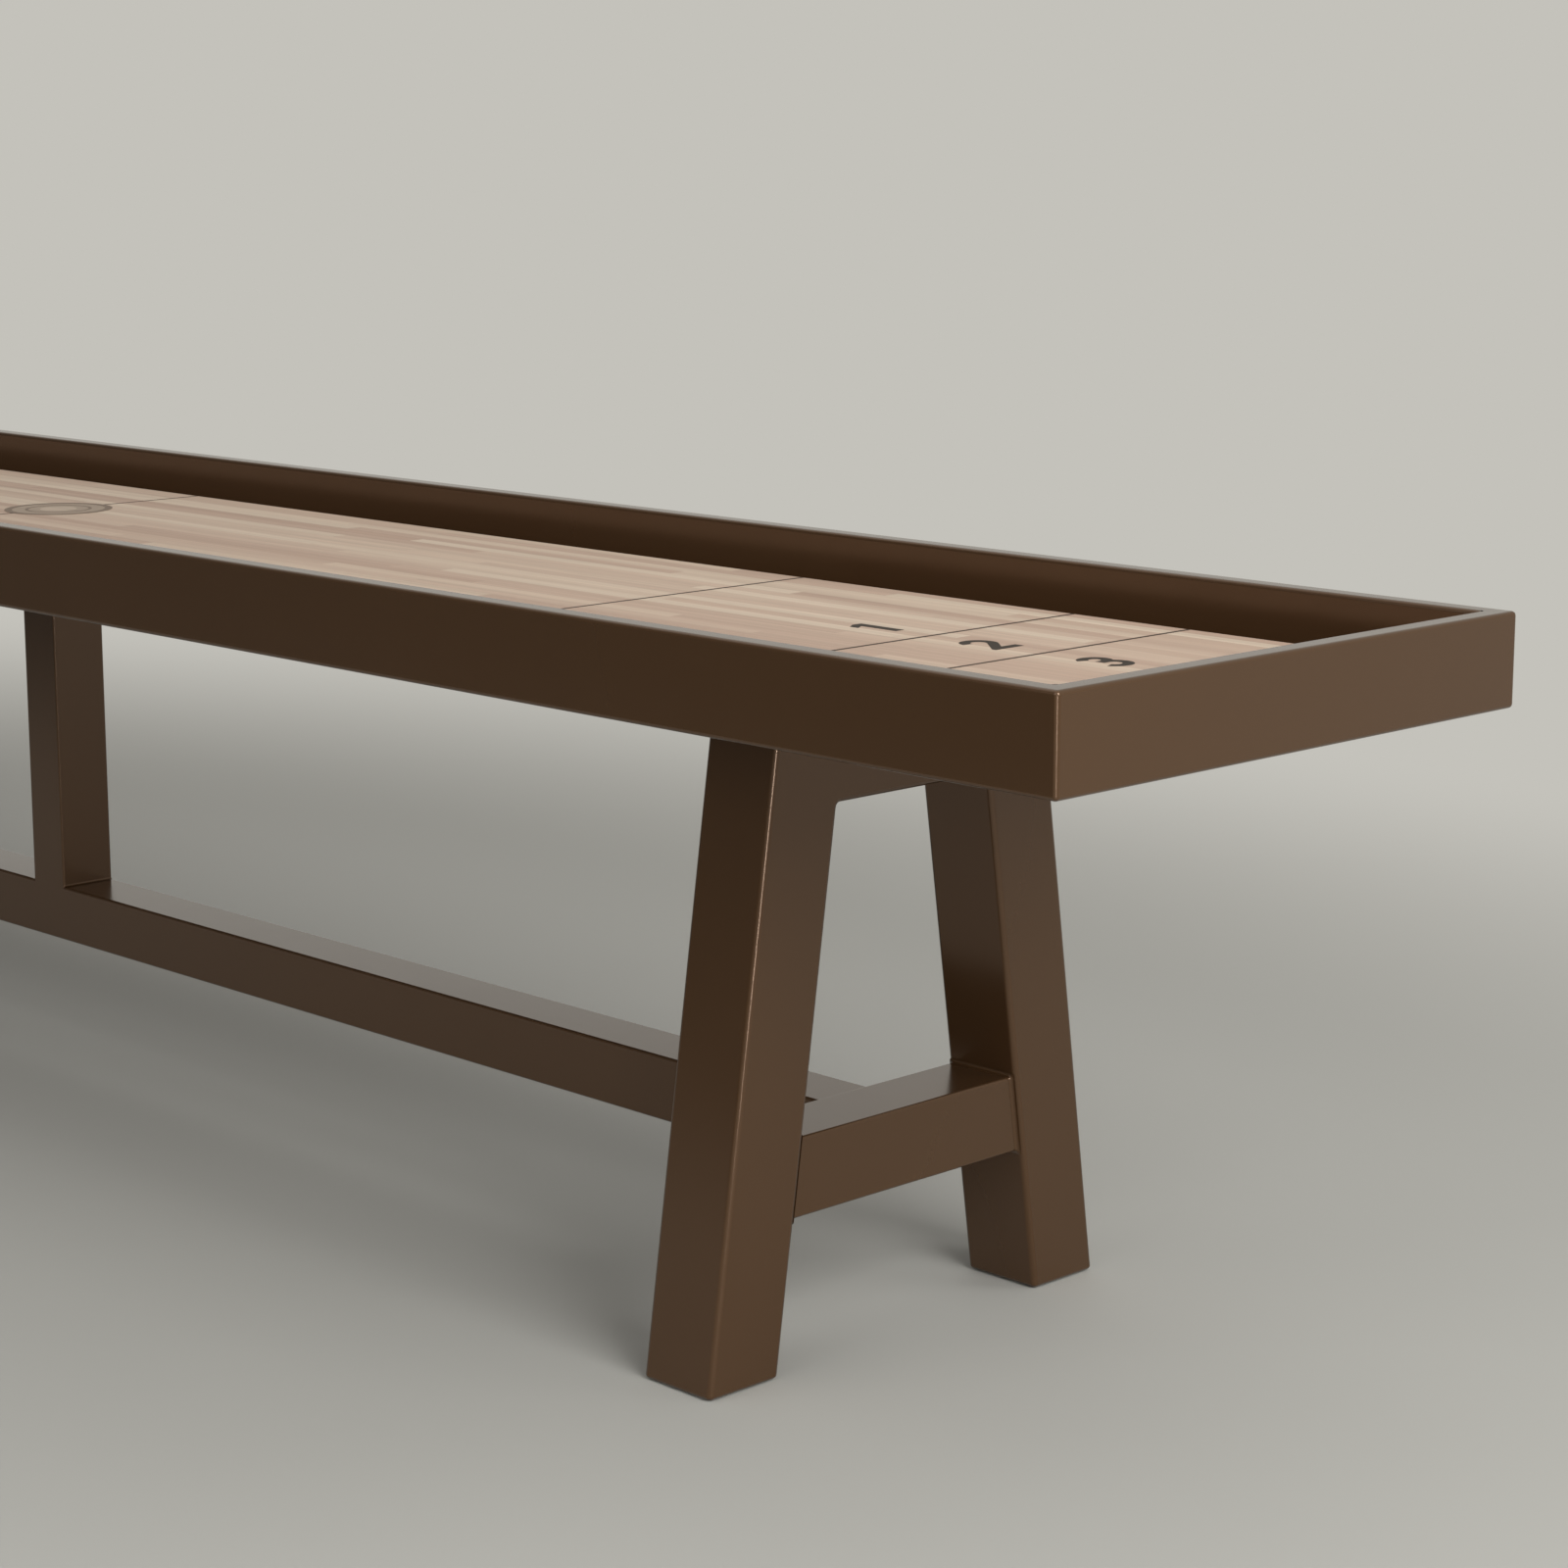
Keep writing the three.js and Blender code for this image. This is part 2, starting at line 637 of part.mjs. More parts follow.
// The post stands on the stretcher, flush with its sides, and is bolted under the tray.
function centrePost() {
	const bottom = stretcherTop + fitGap;
	const tube = toGeometry(squareTube(postDepth, stretcherWidth, stretcherWall, frameTop - bottom));
	const places = [[-postBoltX, 0], [postBoltX, 0]];
	const plate = plateGeometry((postBoltX + plateMargin) * 2, stretcherWidth + plateMargin, places);
	return [
		named('centre_post', tube, coatedMetal(), 0, 0, bottom),
		named('post_top_plate', plate, coatedMetal(), 0, 0, plateBottom),
		named('left_post_bolt', boltGeometry(), plainSteel(), -postBoltX, 0, plateBottom - fitGap),
		named('right_post_bolt', boltGeometry(), plainSteel(), postBoltX, 0, plateBottom - fitGap),
	];
}

// The whole table

const table = new THREE.Group();
table.add(...rails(), ...crossmembers(), ...gutterFloors(), playfield());
table.add(trestle('left'), trestle('right'));
table.add(stretcher(), ...spigots(), ...centrePost());

export default table;
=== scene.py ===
"""Dresses the packed shuffleboard table: welded rails and trestles, strip-wood board, printed zones, feet."""

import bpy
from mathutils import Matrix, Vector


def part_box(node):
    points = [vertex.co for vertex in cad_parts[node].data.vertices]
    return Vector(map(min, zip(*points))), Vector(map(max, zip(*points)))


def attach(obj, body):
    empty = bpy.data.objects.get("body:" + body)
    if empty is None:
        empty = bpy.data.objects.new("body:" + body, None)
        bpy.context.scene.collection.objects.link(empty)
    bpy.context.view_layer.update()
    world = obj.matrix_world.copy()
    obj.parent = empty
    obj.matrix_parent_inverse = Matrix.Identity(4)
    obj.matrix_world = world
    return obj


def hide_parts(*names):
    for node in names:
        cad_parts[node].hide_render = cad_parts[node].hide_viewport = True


bl_info = {
    "name": "Shuffleboard Table",
    "version": (1, 0, 0),
    "blender": (4, 5, 0),
    "location": "3D View > Sidebar > Shuffleboard",
    "description": "Builds the visible pieces of a shuffleboard table round its packed frame",
    "category": "Object",
}

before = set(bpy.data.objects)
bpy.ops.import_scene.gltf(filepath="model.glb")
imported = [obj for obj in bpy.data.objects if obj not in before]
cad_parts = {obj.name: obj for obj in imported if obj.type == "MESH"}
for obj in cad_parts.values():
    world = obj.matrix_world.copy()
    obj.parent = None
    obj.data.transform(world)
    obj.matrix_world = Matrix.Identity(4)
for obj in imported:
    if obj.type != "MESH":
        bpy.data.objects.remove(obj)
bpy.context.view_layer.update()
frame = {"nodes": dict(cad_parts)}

import math

import bmesh
import bpy
from mathutils import Color, Matrix, Vector

MAIN_BODY = "table"
SIDES = ("left", "right")
DEPTHS = ("near", "far")
CROSSMEMBERS_A_SIDE = 6
BOLTS_A_PLATE = 4
AXIS_X = 0
AXIS_Y = 1
AXIS_Z = 2
MM = 0.001
RIGHT_ANGLE = math.radians(90)

# Sides of prisms, and steps of turned forms

HEXAGON = 6
WASHER_SIDES = 32
SHANK_SIDES = 16
SCREW_STEPS = 24
PAD_STEPS = 48
MARK_STEPS = 96

# Limits that tell edges and faces apart

SAME_PLACE = 1e-6
NEARLY_STRAIGHT = 0.999
CORNER_ANGLE = math.radians(50)
SMOOTH_ANGLE = math.radians(40)

# Places that the packed frame gives, in metres

LONG_RAIL_LOW, LONG_RAIL_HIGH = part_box("near_rail")
HALF_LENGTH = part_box("right_end_rail")[1].x
HALF_WIDTH = -LONG_RAIL_LOW.y
RAIL_THICKNESS = LONG_RAIL_HIGH.y - LONG_RAIL_LOW.y
BOARD_LOW, BOARD_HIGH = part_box("playfield")
LEG_LOW, LEG_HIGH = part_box("right_far_leg")
BEAM_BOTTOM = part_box("right_top_beam")[0].z
PAD_LOW, PAD_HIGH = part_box("right_far_foot_pad")
STEM_LOW, STEM_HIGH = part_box("right_far_foot_stem")
FOOT_PLATE_LOW, FOOT_PLATE_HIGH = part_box("right_far_foot_plate")
MOUNTING_PLATE_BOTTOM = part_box("left_mounting_plate")[0].z
TRESTLE_X = (LEG_LOW.x + LEG_HIGH.x) / 2
FOOT_Y = (PAD_LOW.y + PAD_HIGH.y) / 2
FOOT_OUTER = LEG_HIGH.y
LEG_WIDTH = (FOOT_OUTER - FOOT_Y) * 2
FOOT_INNER = FOOT_OUTER - LEG_WIDTH
LEG_TOP_INNER = LEG_LOW.y
LEG_TOP_OUTER = LEG_TOP_INNER + LEG_WIDTH
LEG_SPLAY = (FOOT_OUTER - LEG_TOP_OUTER) / (LEG_HIGH.z - LEG_LOW.z)

# Outline of a levelling pad: how far in from its rim, and how far up from its base or down from its top

PAD_SOLE = (
    (7.0 * MM, 1.0 * MM),
    (6.0 * MM, 0.0),
    (1.6 * MM, 0.0),
    (0.4 * MM, 0.4 * MM),
    (0.0, 1.4 * MM),
)
PAD_SHOULDER = (
    (0.0, 2.2 * MM),
    (0.5 * MM, 1.0 * MM),
    (1.8 * MM, 0.4 * MM),
    (10.0 * MM, 0.0),
)

# Rings of the centre mark: inner and outer radius as shares of its own, ink, and how many films thick

MARK_RINGS = {
    "rim": (0.86, 1.0, "mark_rim_ink", 2),
    "field": (0.0, 0.86, "mark_field_ink", 1),
    "ring": (0.56, 0.62, "mark_rim_ink", 2),
    "spot": (0.0, 0.34, "mark_spot_ink", 2),
}

# Lamps: place, point that the lamp looks at, its width and height, and the width of its beam in degrees

LAMPS = {
    "key": ((6.0, -1.0, 3.1), (1.2, 0.0, 0.4), (3.0, 3.0), 180),
    "front": ((0.5, -5.0, 3.2), (0.0, 0.0, 0.6), (5.0, 2.5), 180),
    "end": ((4.2, 2.0, 3.4), (2.0, 0.0, 0.6), (1.6, 1.6), 180),
    "edge": ((4.3, -2.35, 0.5), (1.0, 0.0, 0.5), (0.35, 0.8), 60),
    "top": ((0.0, 0.0, 4.6), (0.0, 0.0, 0.0), (6.0, 6.0), 180),
}

# Lamps that gloss doesn't mirror

UNMIRRORED_LAMPS = ("end",)

# Tint of the even light, and the direction away from which gloss shows a dimmer room, to the front left

AMBIENT_TINT = (1.0, 0.985, 0.955, 1.0)
BRIGHT_WAY = (0.7, 0.7, 0.1)

# Camera: place in metres, tilt up from straight down and turn round the upright axis in degrees,
# and width of its sensor in millimetres

CAMERA_PLACE = (3.86536, -2.47483, 1.23406)
CAMERA_TILT = 79.0105
CAMERA_TURN = 45.5865
CAMERA_SENSOR = 36.0


def paint(red, green, blue):
    """A colour given as it shows on a screen, 0 to 255 a channel, as the shader wants it."""
    colour = Color((red / 255, green / 255, blue / 255)).from_srgb_to_scene_linear()
    return (colour.r, colour.g, colour.b, 1.0)


# Tones of the pieces of wood, from the darkest to the palest

WOOD_TONES = (
    paint(175, 148, 129),
    paint(181, 155, 136),
    paint(186, 161, 141),
    paint(190, 166, 146),
    paint(196, 174, 153),
    paint(202, 183, 162),
)


# Kinds of settings


def length_setting(name, description, default, least=0.1 * MM):
    """A size in metres."""
    return bpy.props.FloatProperty(
        name=name,
        description=description,
        default=default,
        min=least,
        unit="LENGTH",
    )


def distances_setting(name, description, default):
    """Three distances in metres."""
    return bpy.props.FloatVectorProperty(
        name=name,
        description=description,
        default=default,
        size=3,
        unit="LENGTH",
    )


def colour_setting(name, description, red, green, blue):
    """A colour, whose default is given as it shows on a screen."""
    return bpy.props.FloatVectorProperty(
        name=name,
        description=description,
        default=paint(red, green, blue),
        size=4,
        min=0.0,
        max=1.0,
        subtype="COLOR",
    )


def power_setting(name, description, default):
    """The power of a lamp in watts."""
    return bpy.props.FloatProperty(
        name=name,
        description=description,
        default=default,
        min=0.0,
        unit="POWER",
    )


def strength_setting(name, description, default):
    """A brightness, where 1 shows a colour as it is written."""
    return bpy.props.FloatProperty(name=name, description=description, default=default, min=0.0)


# Sizes and colours that a user would change


class RailSizes(bpy.types.PropertyGroup):
    """Shape of the welded ring of rails."""

    edge_radius: length_setting("Edge radius", "Long edges and outer corners of the rails", 4.5 * MM)
    inner_corner_radius: length_setting("Inner corner radius", "Weld in the inner upright corners", 1.5 * MM)


class TrestleSizes(bpy.types.PropertyGroup):
    """Shape of the welded end frames."""

    edge_radius: length_setting("Leg edge radius", "Long edges of the legs and the top beam", 6 * MM)
    foot_radius: length_setting("Foot edge radius", "Edge of the closed lower end of a leg", 4 * MM)
    weld_radius: length_setting("Weld fillet", "Fillet in the corners under the top beam", 4.5 * MM)
    pad_clearance: length_setting("Pad clearance", "Gap round a levelling pad in its leg", 2 * MM)
    recess_depth: length_setting("Recess depth", "Greatest depth of the recess for a pad", 14 * MM, 8 * MM)
    stem_bore: length_setting("Stem bore", "Radius of the bore in which a stem runs", 6.15 * MM, 6 * MM)


class BarSizes(bpy.types.PropertyGroup):
    """Shape of the crossbars, the stretcher, the post, the plates and the crossmembers."""

    edge_radius: length_setting("Tube edge radius", "Long edges of the lower tubes and the post", 3 * MM)
    bar_weld: length_setting("Bar weld", "Hollow fillet of weld round the ends of the crossbars", 4 * MM)
    post_weld: length_setting("Post weld", "Hollow fillet of weld at the foot of the post", 3 * MM)
    weld_reach: length_setting("Weld reach", "Gap that a weld bridges to its neighbour", 0.3 * MM, 0.0)
    crossmember_radius: length_setting("Crossmember edge radius", "Long edges of a crossmember", 4 * MM)
    plate_corner_radius: length_setting("Plate corner radius", "Upright corners of a plate", 12 * MM)
    plate_edge_radius: length_setting("Plate edge radius", "Edges of plates and gutter floors", 0.6 * MM)


class FastenerSizes(bpy.types.PropertyGroup):
    """Shape of the hexagon bolts and the button screws."""

    shank_radius: length_setting("Shank radius", "Radius of the shank of a bolt or a screw", 4 * MM, 1 * MM)
    washer_thickness: length_setting("Washer thickness", "Washer under the head of a bolt", 1.2 * MM)
    washer_seat: length_setting("Washer seat", "Gap between a washer and its plate", 0.05 * MM, 0.0)
    head_height: length_setting("Screw head height", "Height of the head of a screw", 4 * MM, 1 * MM)
    dome_height: length_setting("Dome height", "How far the dome of a screw head swells", 3.2 * MM)
    socket_radius: length_setting("Socket radius", "Hexagon socket of a screw, middle to corner", 2.9 * MM)
    socket_depth: length_setting("Socket depth", "Depth of the hexagon socket of a screw", 2.2 * MM)


class FootSizes(bpy.types.PropertyGroup):
    """Shape of the levelling feet."""

    collar_height: length_setting("Collar height", "Hexagon collar between pad and stem", 5 * MM, 2 * MM)
    thread_radius: length_setting("Thread radius", "Outer radius of a threaded stem", 5.9 * MM, 2 * MM)
    thread_depth: length_setting("Thread depth", "Depth of the thread of a stem", 0.9 * MM)
    thread_pitch: length_setting("Thread pitch", "Rise of the thread in one turn", 1.75 * MM, 0.5 * MM)


class PlayfieldSizes(bpy.types.PropertyGroup):
    """Wooden board and what is printed on it."""

    edge_radius: length_setting("Board edge radius", "Rounding of the edges of the board", 2 * MM)
    strips: bpy.props.IntProperty(
        name="Wood strips",
        description="Number of strips glued side by side across the board",
        default=21,
        min=2,
    )
    strip_length: length_setting("Mean strip length", "Mean length of one piece of wood", 0.62, 0.05)
    line_width: length_setting("Line width", "Width of a printed score line", 4.8 * MM)
    line_places: distances_setting(
        "Score lines",
        "Distance of each score line from the end of the table",
        (0.306, 0.4575, 0.852),
    )
    number_places: distances_setting(
        "Zone numbers",
        "Distance of the numbers 1, 2 and 3 from the end of the table",
        (0.5325, 0.3805, 0.231),
    )
    number_height: length_setting("Number height", "Height of a zone number", 60 * MM, 5 * MM)
    number_stroke: length_setting("Number stroke", "Thickness of a number's strokes", 11.2 * MM, 1 * MM)
    print_thickness: length_setting("Print thickness", "Printed film above the wood", 0.12 * MM, 0.02 * MM)
    mark_radius: length_setting("Centre mark radius", "Outer radius of the plain rings", 68.5 * MM, 5 * MM)


class FinishColours(bpy.types.PropertyGroup):
    """Colours of the finishes."""

    frame: colour_setting("Frame coat", "Powder coat of the frame", 85, 60, 37)
    gutter: colour_setting("Gutter coat", "Powder coat of the gutter floors", 70, 50, 33)
    ink: colour_setting("Number ink", "Ink of the zone numbers", 44, 34, 25)
    line: colour_setting("Line ink", "Ink of the score lines", 60, 45, 34)
    mark_dark: colour_setting("Mark rim ink", "Darker ink of the rings of the centre mark", 118, 101, 86)
    mark_light: colour_setting("Mark field ink", "Lighter ink inside the centre mark", 156, 139, 122)
    mark_pale: colour_setting("Mark spot ink", "Palest ink, in the middle of the centre mark", 180, 162, 144)
    zinc: colour_setting("Zinc", "Zinc plating of the bolts, stems and fittings", 168, 170, 172)
    rubber: colour_setting("Rubber", "Levelling pads", 34, 33, 32)


class StageSettings(bpy.types.PropertyGroup):
    """Floor, light and camera."""

    floor: colour_setting("Floor", "Colour of the floor", 173, 172, 166)
    backdrop: colour_setting("Backdrop", "Colour seen behind the table", 196, 194, 187)
    ambient: strength_setting("Ambient light", "Even light from all round", 0.36)
    front_glow: strength_setting("Front glow", "How bright gloss shows the room at the front left", 0.2)
    key_power: power_setting("Key light", "Large soft light at the right end", 250.0)
    front_power: power_setting("Front light", "Wide soft light in front of the table", 68.0)
    end_power: power_setting("End light", "Soft light on the end rail, which gloss doesn't mirror", 33.0)
    edge_power: power_setting("Edge light", "Narrow light that draws bright lines along edges", 1.9)
    top_power: power_setting("Top light", "Soft light overhead", 33.0)
    focal_length: bpy.props.FloatProperty(
        name="Focal length",
        description="Lens of the camera in millimetres",
        default=80.115,
        min=10.0,
    )


# Mesh tools


def block(low, high):
    """A new mesh with one box between two corners."""
    bm = bmesh.new()
    bmesh.ops.create_cube(bm, size=1.0)
    bmesh.ops.scale(bm, vec=high - low, verts=bm.verts)
    bmesh.ops.translate(bm, vec=(low + high) / 2, verts=bm.verts)
    return bm


def slab_of(outline, axis, start, end):
    """A new mesh: a flat outline in the two other axes, drawn out along one axis."""
    bm = bmesh.new()
    corners = []
    for first, second in outline:
        place = [first, second]
        place.insert(axis, start)
        corners.append(bm.verts.new(place))
    face = bm.faces.new(corners)
    draw_out(bm, [face], axis, end - start)
    return bm


def draw_out(bm, faces, axis, distance):
    """Draws flat faces out along an axis into a closed body."""
    made = bmesh.ops.extrude_face_region(bm, geom=faces)
    step = Vector((0, 0, 0))
    step[axis] = distance
    bmesh.ops.translate(bm, vec=step, verts=points_of(made))
    bmesh.ops.recalc_face_normals(bm, faces=bm.faces)


def points_of(made):
    """The points among what an operator made."""
    return [item for item in made["geom"] if isinstance(item, bmesh.types.BMVert)]


def edges_along(bm, axis):
    """The edges that run along an axis."""
    found = []
    for edge in bm.edges:
        run = (edge.verts[0].co - edge.verts[1].co).normalized()
        if abs(run[axis]) > NEARLY_STRAIGHT:
            found.append(edge)
    return found


def edges_among(edges, points):
    """The edges with both ends among some points."""
    return [edge for edge in edges if edge.verts[0] in points and edge.verts[1] in points]


def corner_edges(bm):
    """The edges where two faces meet at a clear corner."""
    return [edge for edge in bm.edges if edge.calc_face_angle(0.0) > CORNER_ANGLE]


def lies_at(edge, height):
    """Whether both ends of an edge are at a height."""
    return all(abs(point.co.z - height) < SAME_PLACE for point in edge.verts)


def round_off(bm, edges, radius, segments):
    """Rounds edges to a radius."""
    bmesh.ops.bevel(
        bm,
        geom=list(edges),
        offset=radius,
        offset_type="OFFSET",
        affect="EDGES",
        segments=segments,
        profile=0.5,
        material=-1,
        clamp_overlap=False,
    )


def end_face(bm, way):
    """The largest of the faces that lie farthest along a direction."""
    return max(bm.faces, key=lambda face: (face.calc_center_median().dot(way), face.calc_area()))


def push_face(bm, face, step, factors, turn=Matrix.Identity(4)):
    """Draws an end face out by a step, widened about its middle in a turned space; gives the new face."""
    middle = face.calc_center_median()
    pushed = bmesh.ops.extrude_discrete_faces(bm, faces=[face])["faces"][0]
    around = turn @ Matrix.Translation(-middle)
    bmesh.ops.scale(bm, vec=factors, space=around, verts=pushed.verts)
    bmesh.ops.translate(bm, vec=step, verts=pushed.verts)
    return pushed


def flare(bm, way, size, axes, turn=Matrix.Identity(4), steps=5):
    """Ends a tube in a hollow fillet of weld that widens it along some of its axes; gives its end face."""
    face = end_face(bm, way)
    middle = face.calc_center_median()
    reach = {axis: max(abs(point.co[axis] - middle[axis]) for point in face.verts) for axis in axes}
    gone = 0.0
    grown = 0.0
    for step in range(1, steps + 1):
        angle = RIGHT_ANGLE * step / steps
        far = size * math.sin(angle)
        wide = size * (1 - math.cos(angle))
        factors = [1.0, 1.0, 1.0]
        for axis, half in reach.items():
            factors[axis] = (half + wide) / (half + grown)
        face = push_face(bm, face, way * (far - gone), factors, turn)
        gone = far
        grown = wide
    return face


def turned(profile, centre, steps):
    """A new mesh: a profile of (radius, height) points turned round an upright axis."""
    bm = bmesh.new()
    points = [bm.verts.new((centre.x + radius, centre.y, height)) for radius, height in profile]
    edges = [bm.edges.new(pair) for pair in zip(points, points[1:])]
    bmesh.ops.spin(
        bm,
        geom=points + edges,
        cent=(centre.x, centre.y, 0),
        axis=(0, 0, 1),
        angle=math.tau,
        steps=steps,
        use_merge=True,
    )
    bmesh.ops.remove_doubles(bm, verts=bm.verts, dist=SAME_PLACE)
    bmesh.ops.recalc_face_normals(bm, faces=bm.faces)
    return bm


def add_turned(bm, profile, centre, steps):
    """Adds a turned body to a mesh."""
    part = turned(profile, centre, steps)
    scratch = bpy.data.meshes.new("scratch")
    part.to_mesh(scratch)
    part.free()
    bm.from_mesh(scratch)
    bpy.data.meshes.remove(scratch)


def add_prism(bm, centre, radius, sides, bottom, top, easing):
    """Adds an upright prism with eased rims to a mesh."""
    made = bmesh.ops.create_cone(
        bm,
        cap_ends=True,
        segments=sides,
        radius1=radius,
        radius2=radius,
        depth=top - bottom,
        matrix=Matrix.Translation((centre.x, centre.y, (bottom + top) / 2)),
    )
    rims = []
    for edge in edges_among(bm.edges, set(made["verts"])):
        if abs(edge.verts[0].co.z - edge.verts[1].co.z) < SAME_PLACE:
            rims.append(edge)
    round_off(bm, rims, easing, segments=2)


def add_hoop(bm, centre, radius, sides):
    """Adds a flat ring of edges to a mesh; gives its edges."""
    made = bmesh.ops.create_circle(
        bm,
        cap_ends=False,
        segments=sides,
        radius=radius,
        matrix=Matrix.Translation(centre),
    )
    return edges_among(bm.edges, set(made["verts"]))


def raise_hoop(bm, hoop, centre, factor, rise):
    """Draws a ring of edges in towards an upright axis and up; gives the new ring."""
    made = bmesh.ops.extrude_edge_only(bm, edges=hoop)
    points = points_of(made)
    bmesh.ops.scale(bm, vec=(factor, factor, 1), space=Matrix.Translation(-centre), verts=points)
    bmesh.ops.translate(bm, vec=(0, 0, rise), verts=points)
    edges = [item for item in made["geom"] if isinstance(item, bmesh.types.BMEdge)]
    return edges_among(edges, points)


def finish_piece(name, bm, finish, replaced=(), body=MAIN_BODY):
    """Makes an object of a closed mesh, with its finish, its body and the nodes that it stands for."""
    bmesh.ops.recalc_face_normals(bm, faces=bm.faces)
    open_edges = [edge for edge in bm.edges if not edge.is_manifold]
    if open_edges:
        raise RuntimeError(f"{name} has {len(open_edges)} open edges")
    for edge in bm.edges:
        edge.smooth = edge.calc_face_angle(0.0) < SMOOTH_ANGLE
    for face in bm.faces:
        face.smooth = True
    mesh = bpy.data.meshes.new(name)
    bm.to_mesh(mesh)
    bm.free()
    mesh.materials.append(bpy.data.materials[finish])
    piece = bpy.data.objects.new(name, mesh)
    bpy.context.scene.collection.objects.link(piece)
    weighted = piece.modifiers.new("weighted_normals", "WEIGHTED_NORMAL")
    weighted.keep_sharp = True
    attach(piece, body)
    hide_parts(*replaced)


def dress_node(node, finish):
    """Gives a packed node its finish."""
    piece = frame["nodes"][node]
    piece.data.materials.clear()
    piece.data.materials.append(bpy.data.materials[finish])


# Zone numbers


def add_arc(bm, centre, radius, stroke, start, sweep):
    """Adds a curved stroke from an angle on, both in degrees; gives its last edge."""
    direction = Vector((math.cos(math.radians(start)), math.sin(math.radians(start)), 0))
    inner = bm.verts.new(centre + direction * (radius - stroke / 2))
    outer = bm.verts.new(centre + direction * (radius + stroke / 2))
    degrees_a_step = 7
    fewest_steps = 4
    made = bmesh.ops.spin(
        bm,
        geom=[inner, outer, bm.edges.new((inner, outer))],
        cent=centre,
        axis=(0, 0, 1),
        angle=math.radians(sweep),
        steps=max(fewest_steps, round(abs(sweep) / degrees_a_step)),
        use_merge=False,
    )
    return next(item for item in made["geom_last"] if isinstance(item, bmesh.types.BMEdge))


def add_strip(bm, points):
    """Adds a straight stroke with given corners."""
    bm.faces.new([bm.verts.new((first, second, 0)) for first, second in points])


def draw_one(bm, height, stroke):
    """The strokes of a 1: a stem and a slanted flag."""
    half = height / 2
    stem = stroke * 1.1
    flag = stroke * 1.05
    flag_top = half - stroke * 0.7
    flag_bottom = half - stroke * 1.75
    add_strip(bm, ((0, -half), (stem, -half), (stem, half), (0, half)))
    add_strip(bm, ((-flag, flag_bottom), (0, half - stem), (0, half), (-flag, flag_top)))


def draw_two(bm, height, stroke):
    """The strokes of a 2: a bow, a slanted neck and a foot."""
    half = height / 2
    radius = height * 0.229
    slant = math.radians(41)
    edge = add_arc(bm, Vector((0, half - radius - stroke / 2, 0)), radius, stroke, 172, -213)
    foot = -half + stroke
    run = Vector((-math.sin(slant), -math.cos(slant), 0))
    ends = points_of(bmesh.ops.extrude_edge_only(bm, edges=[edge]))
    for point in ends:
        point.co += run * ((point.co.y - foot) / -run.y)
    left = min(point.co.x for point in ends)
    outer = -height / 3
    drop = (left - outer) * run.y / -run.x
    add_strip(bm, ((outer, -half), (-outer, -half), (-outer, foot), (left, foot), (outer, foot + drop)))


def draw_three(bm, height, stroke):
    """The strokes of a 3: a smaller bow on a larger one, cut off at the waist, and a short tongue."""
    upper = (height - stroke) * 0.234
    lower = (height - stroke) * 0.266
    middle = height / 2 - stroke / 2 - upper * 2
    waist = Vector((0, middle, 0))
    add_arc(bm, waist + Vector((0, upper, 0)), upper, stroke, 158, -248)
    drawn = [*bm.verts, *bm.edges, *bm.faces]
    bmesh.ops.bisect_plane(bm, geom=drawn, plane_co=waist, plane_no=(0, 1, 0), clear_inner=True)
    drawn = {*bm.verts, *bm.edges, *bm.faces}
    add_arc(bm, waist - Vector((0, lower, 0)), lower, stroke, 90, -248)
    drawn = [item for item in (*bm.verts, *bm.edges, *bm.faces) if item not in drawn]
    bmesh.ops.bisect_plane(bm, geom=drawn, plane_co=waist, plane_no=(0, 1, 0), clear_outer=True)
    tip = stroke / 2
    add_strip(bm, ((-tip, middle - tip), (0, middle - tip), (0, middle + tip), (-tip, middle + tip)))
    width = height * 2 / 3
    bmesh.ops.scale(bm, vec=(width / (lower * 2 + stroke), 1, 1), verts=bm.verts)


def number_shape(number, height, stroke):
    """A new mesh with the flat strokes of 1, 2 or 3, upright and about the middle."""
    bm = bmesh.new()
    draw = (draw_one, draw_two, draw_three)[number - 1]
    draw(bm, height, stroke)
    return bm


def set_number(bm, side, distance, sunk, top):
    """Turns a number towards its end of the table and gives it the thickness of the print."""
    sign = 1 if side == "right" else -1
    place = Vector(((HALF_LENGTH - distance) * sign, 0, sunk))
    bmesh.ops.transform(
        bm,
        matrix=Matrix.Translation(place) @ Matrix.Rotation(RIGHT_ANGLE * sign, 4, "Z"),
        verts=bm.verts,
    )
    for face in bm.faces:
        if face.normal.z < 0:
            face.normal_flip()
    draw_out(bm, list(bm.faces), AXIS_Z, top - sunk)


# Shader tools


def add_node(tree, kind, **settings):
    """Adds a node and sets it up."""
    node = tree.nodes.new(kind)
    for name, value in settings.items():
        setattr(node, name, value)
    return node


def feed(tree, socket, value):
    """Links a socket to an output, or sets it to a value."""
    if isinstance(value, bpy.types.NodeSocket):
        tree.links.new(value, socket)
    else:
        socket.default_value = value


def reckon(tree, operation, *values):
    """A Math node's output."""
    node = add_node(tree, "ShaderNodeMath", operation=operation)
    for socket, value in zip(node.inputs, values):
        feed(tree, socket, value)
    return node.outputs[0]


def swung(tree, value, swing, base):
    """A value multiplied by a swing and added to a base."""
    return reckon(tree, "MULTIPLY_ADD", value, swing, base)


def about_zero(tree, value):
    """A value between 0 and 1 moved to lie about zero."""
    return reckon(tree, "SUBTRACT", value, 0.5)


def product(tree, first, *others):
    """Several values multiplied."""
    for other in others:
        first = reckon(tree, "MULTIPLY", first, other)
    return first


def greatest(tree, first, *others):
    """The greatest of several values."""
    for other in others:
        first = reckon(tree, "MAXIMUM", first, other)
    return first


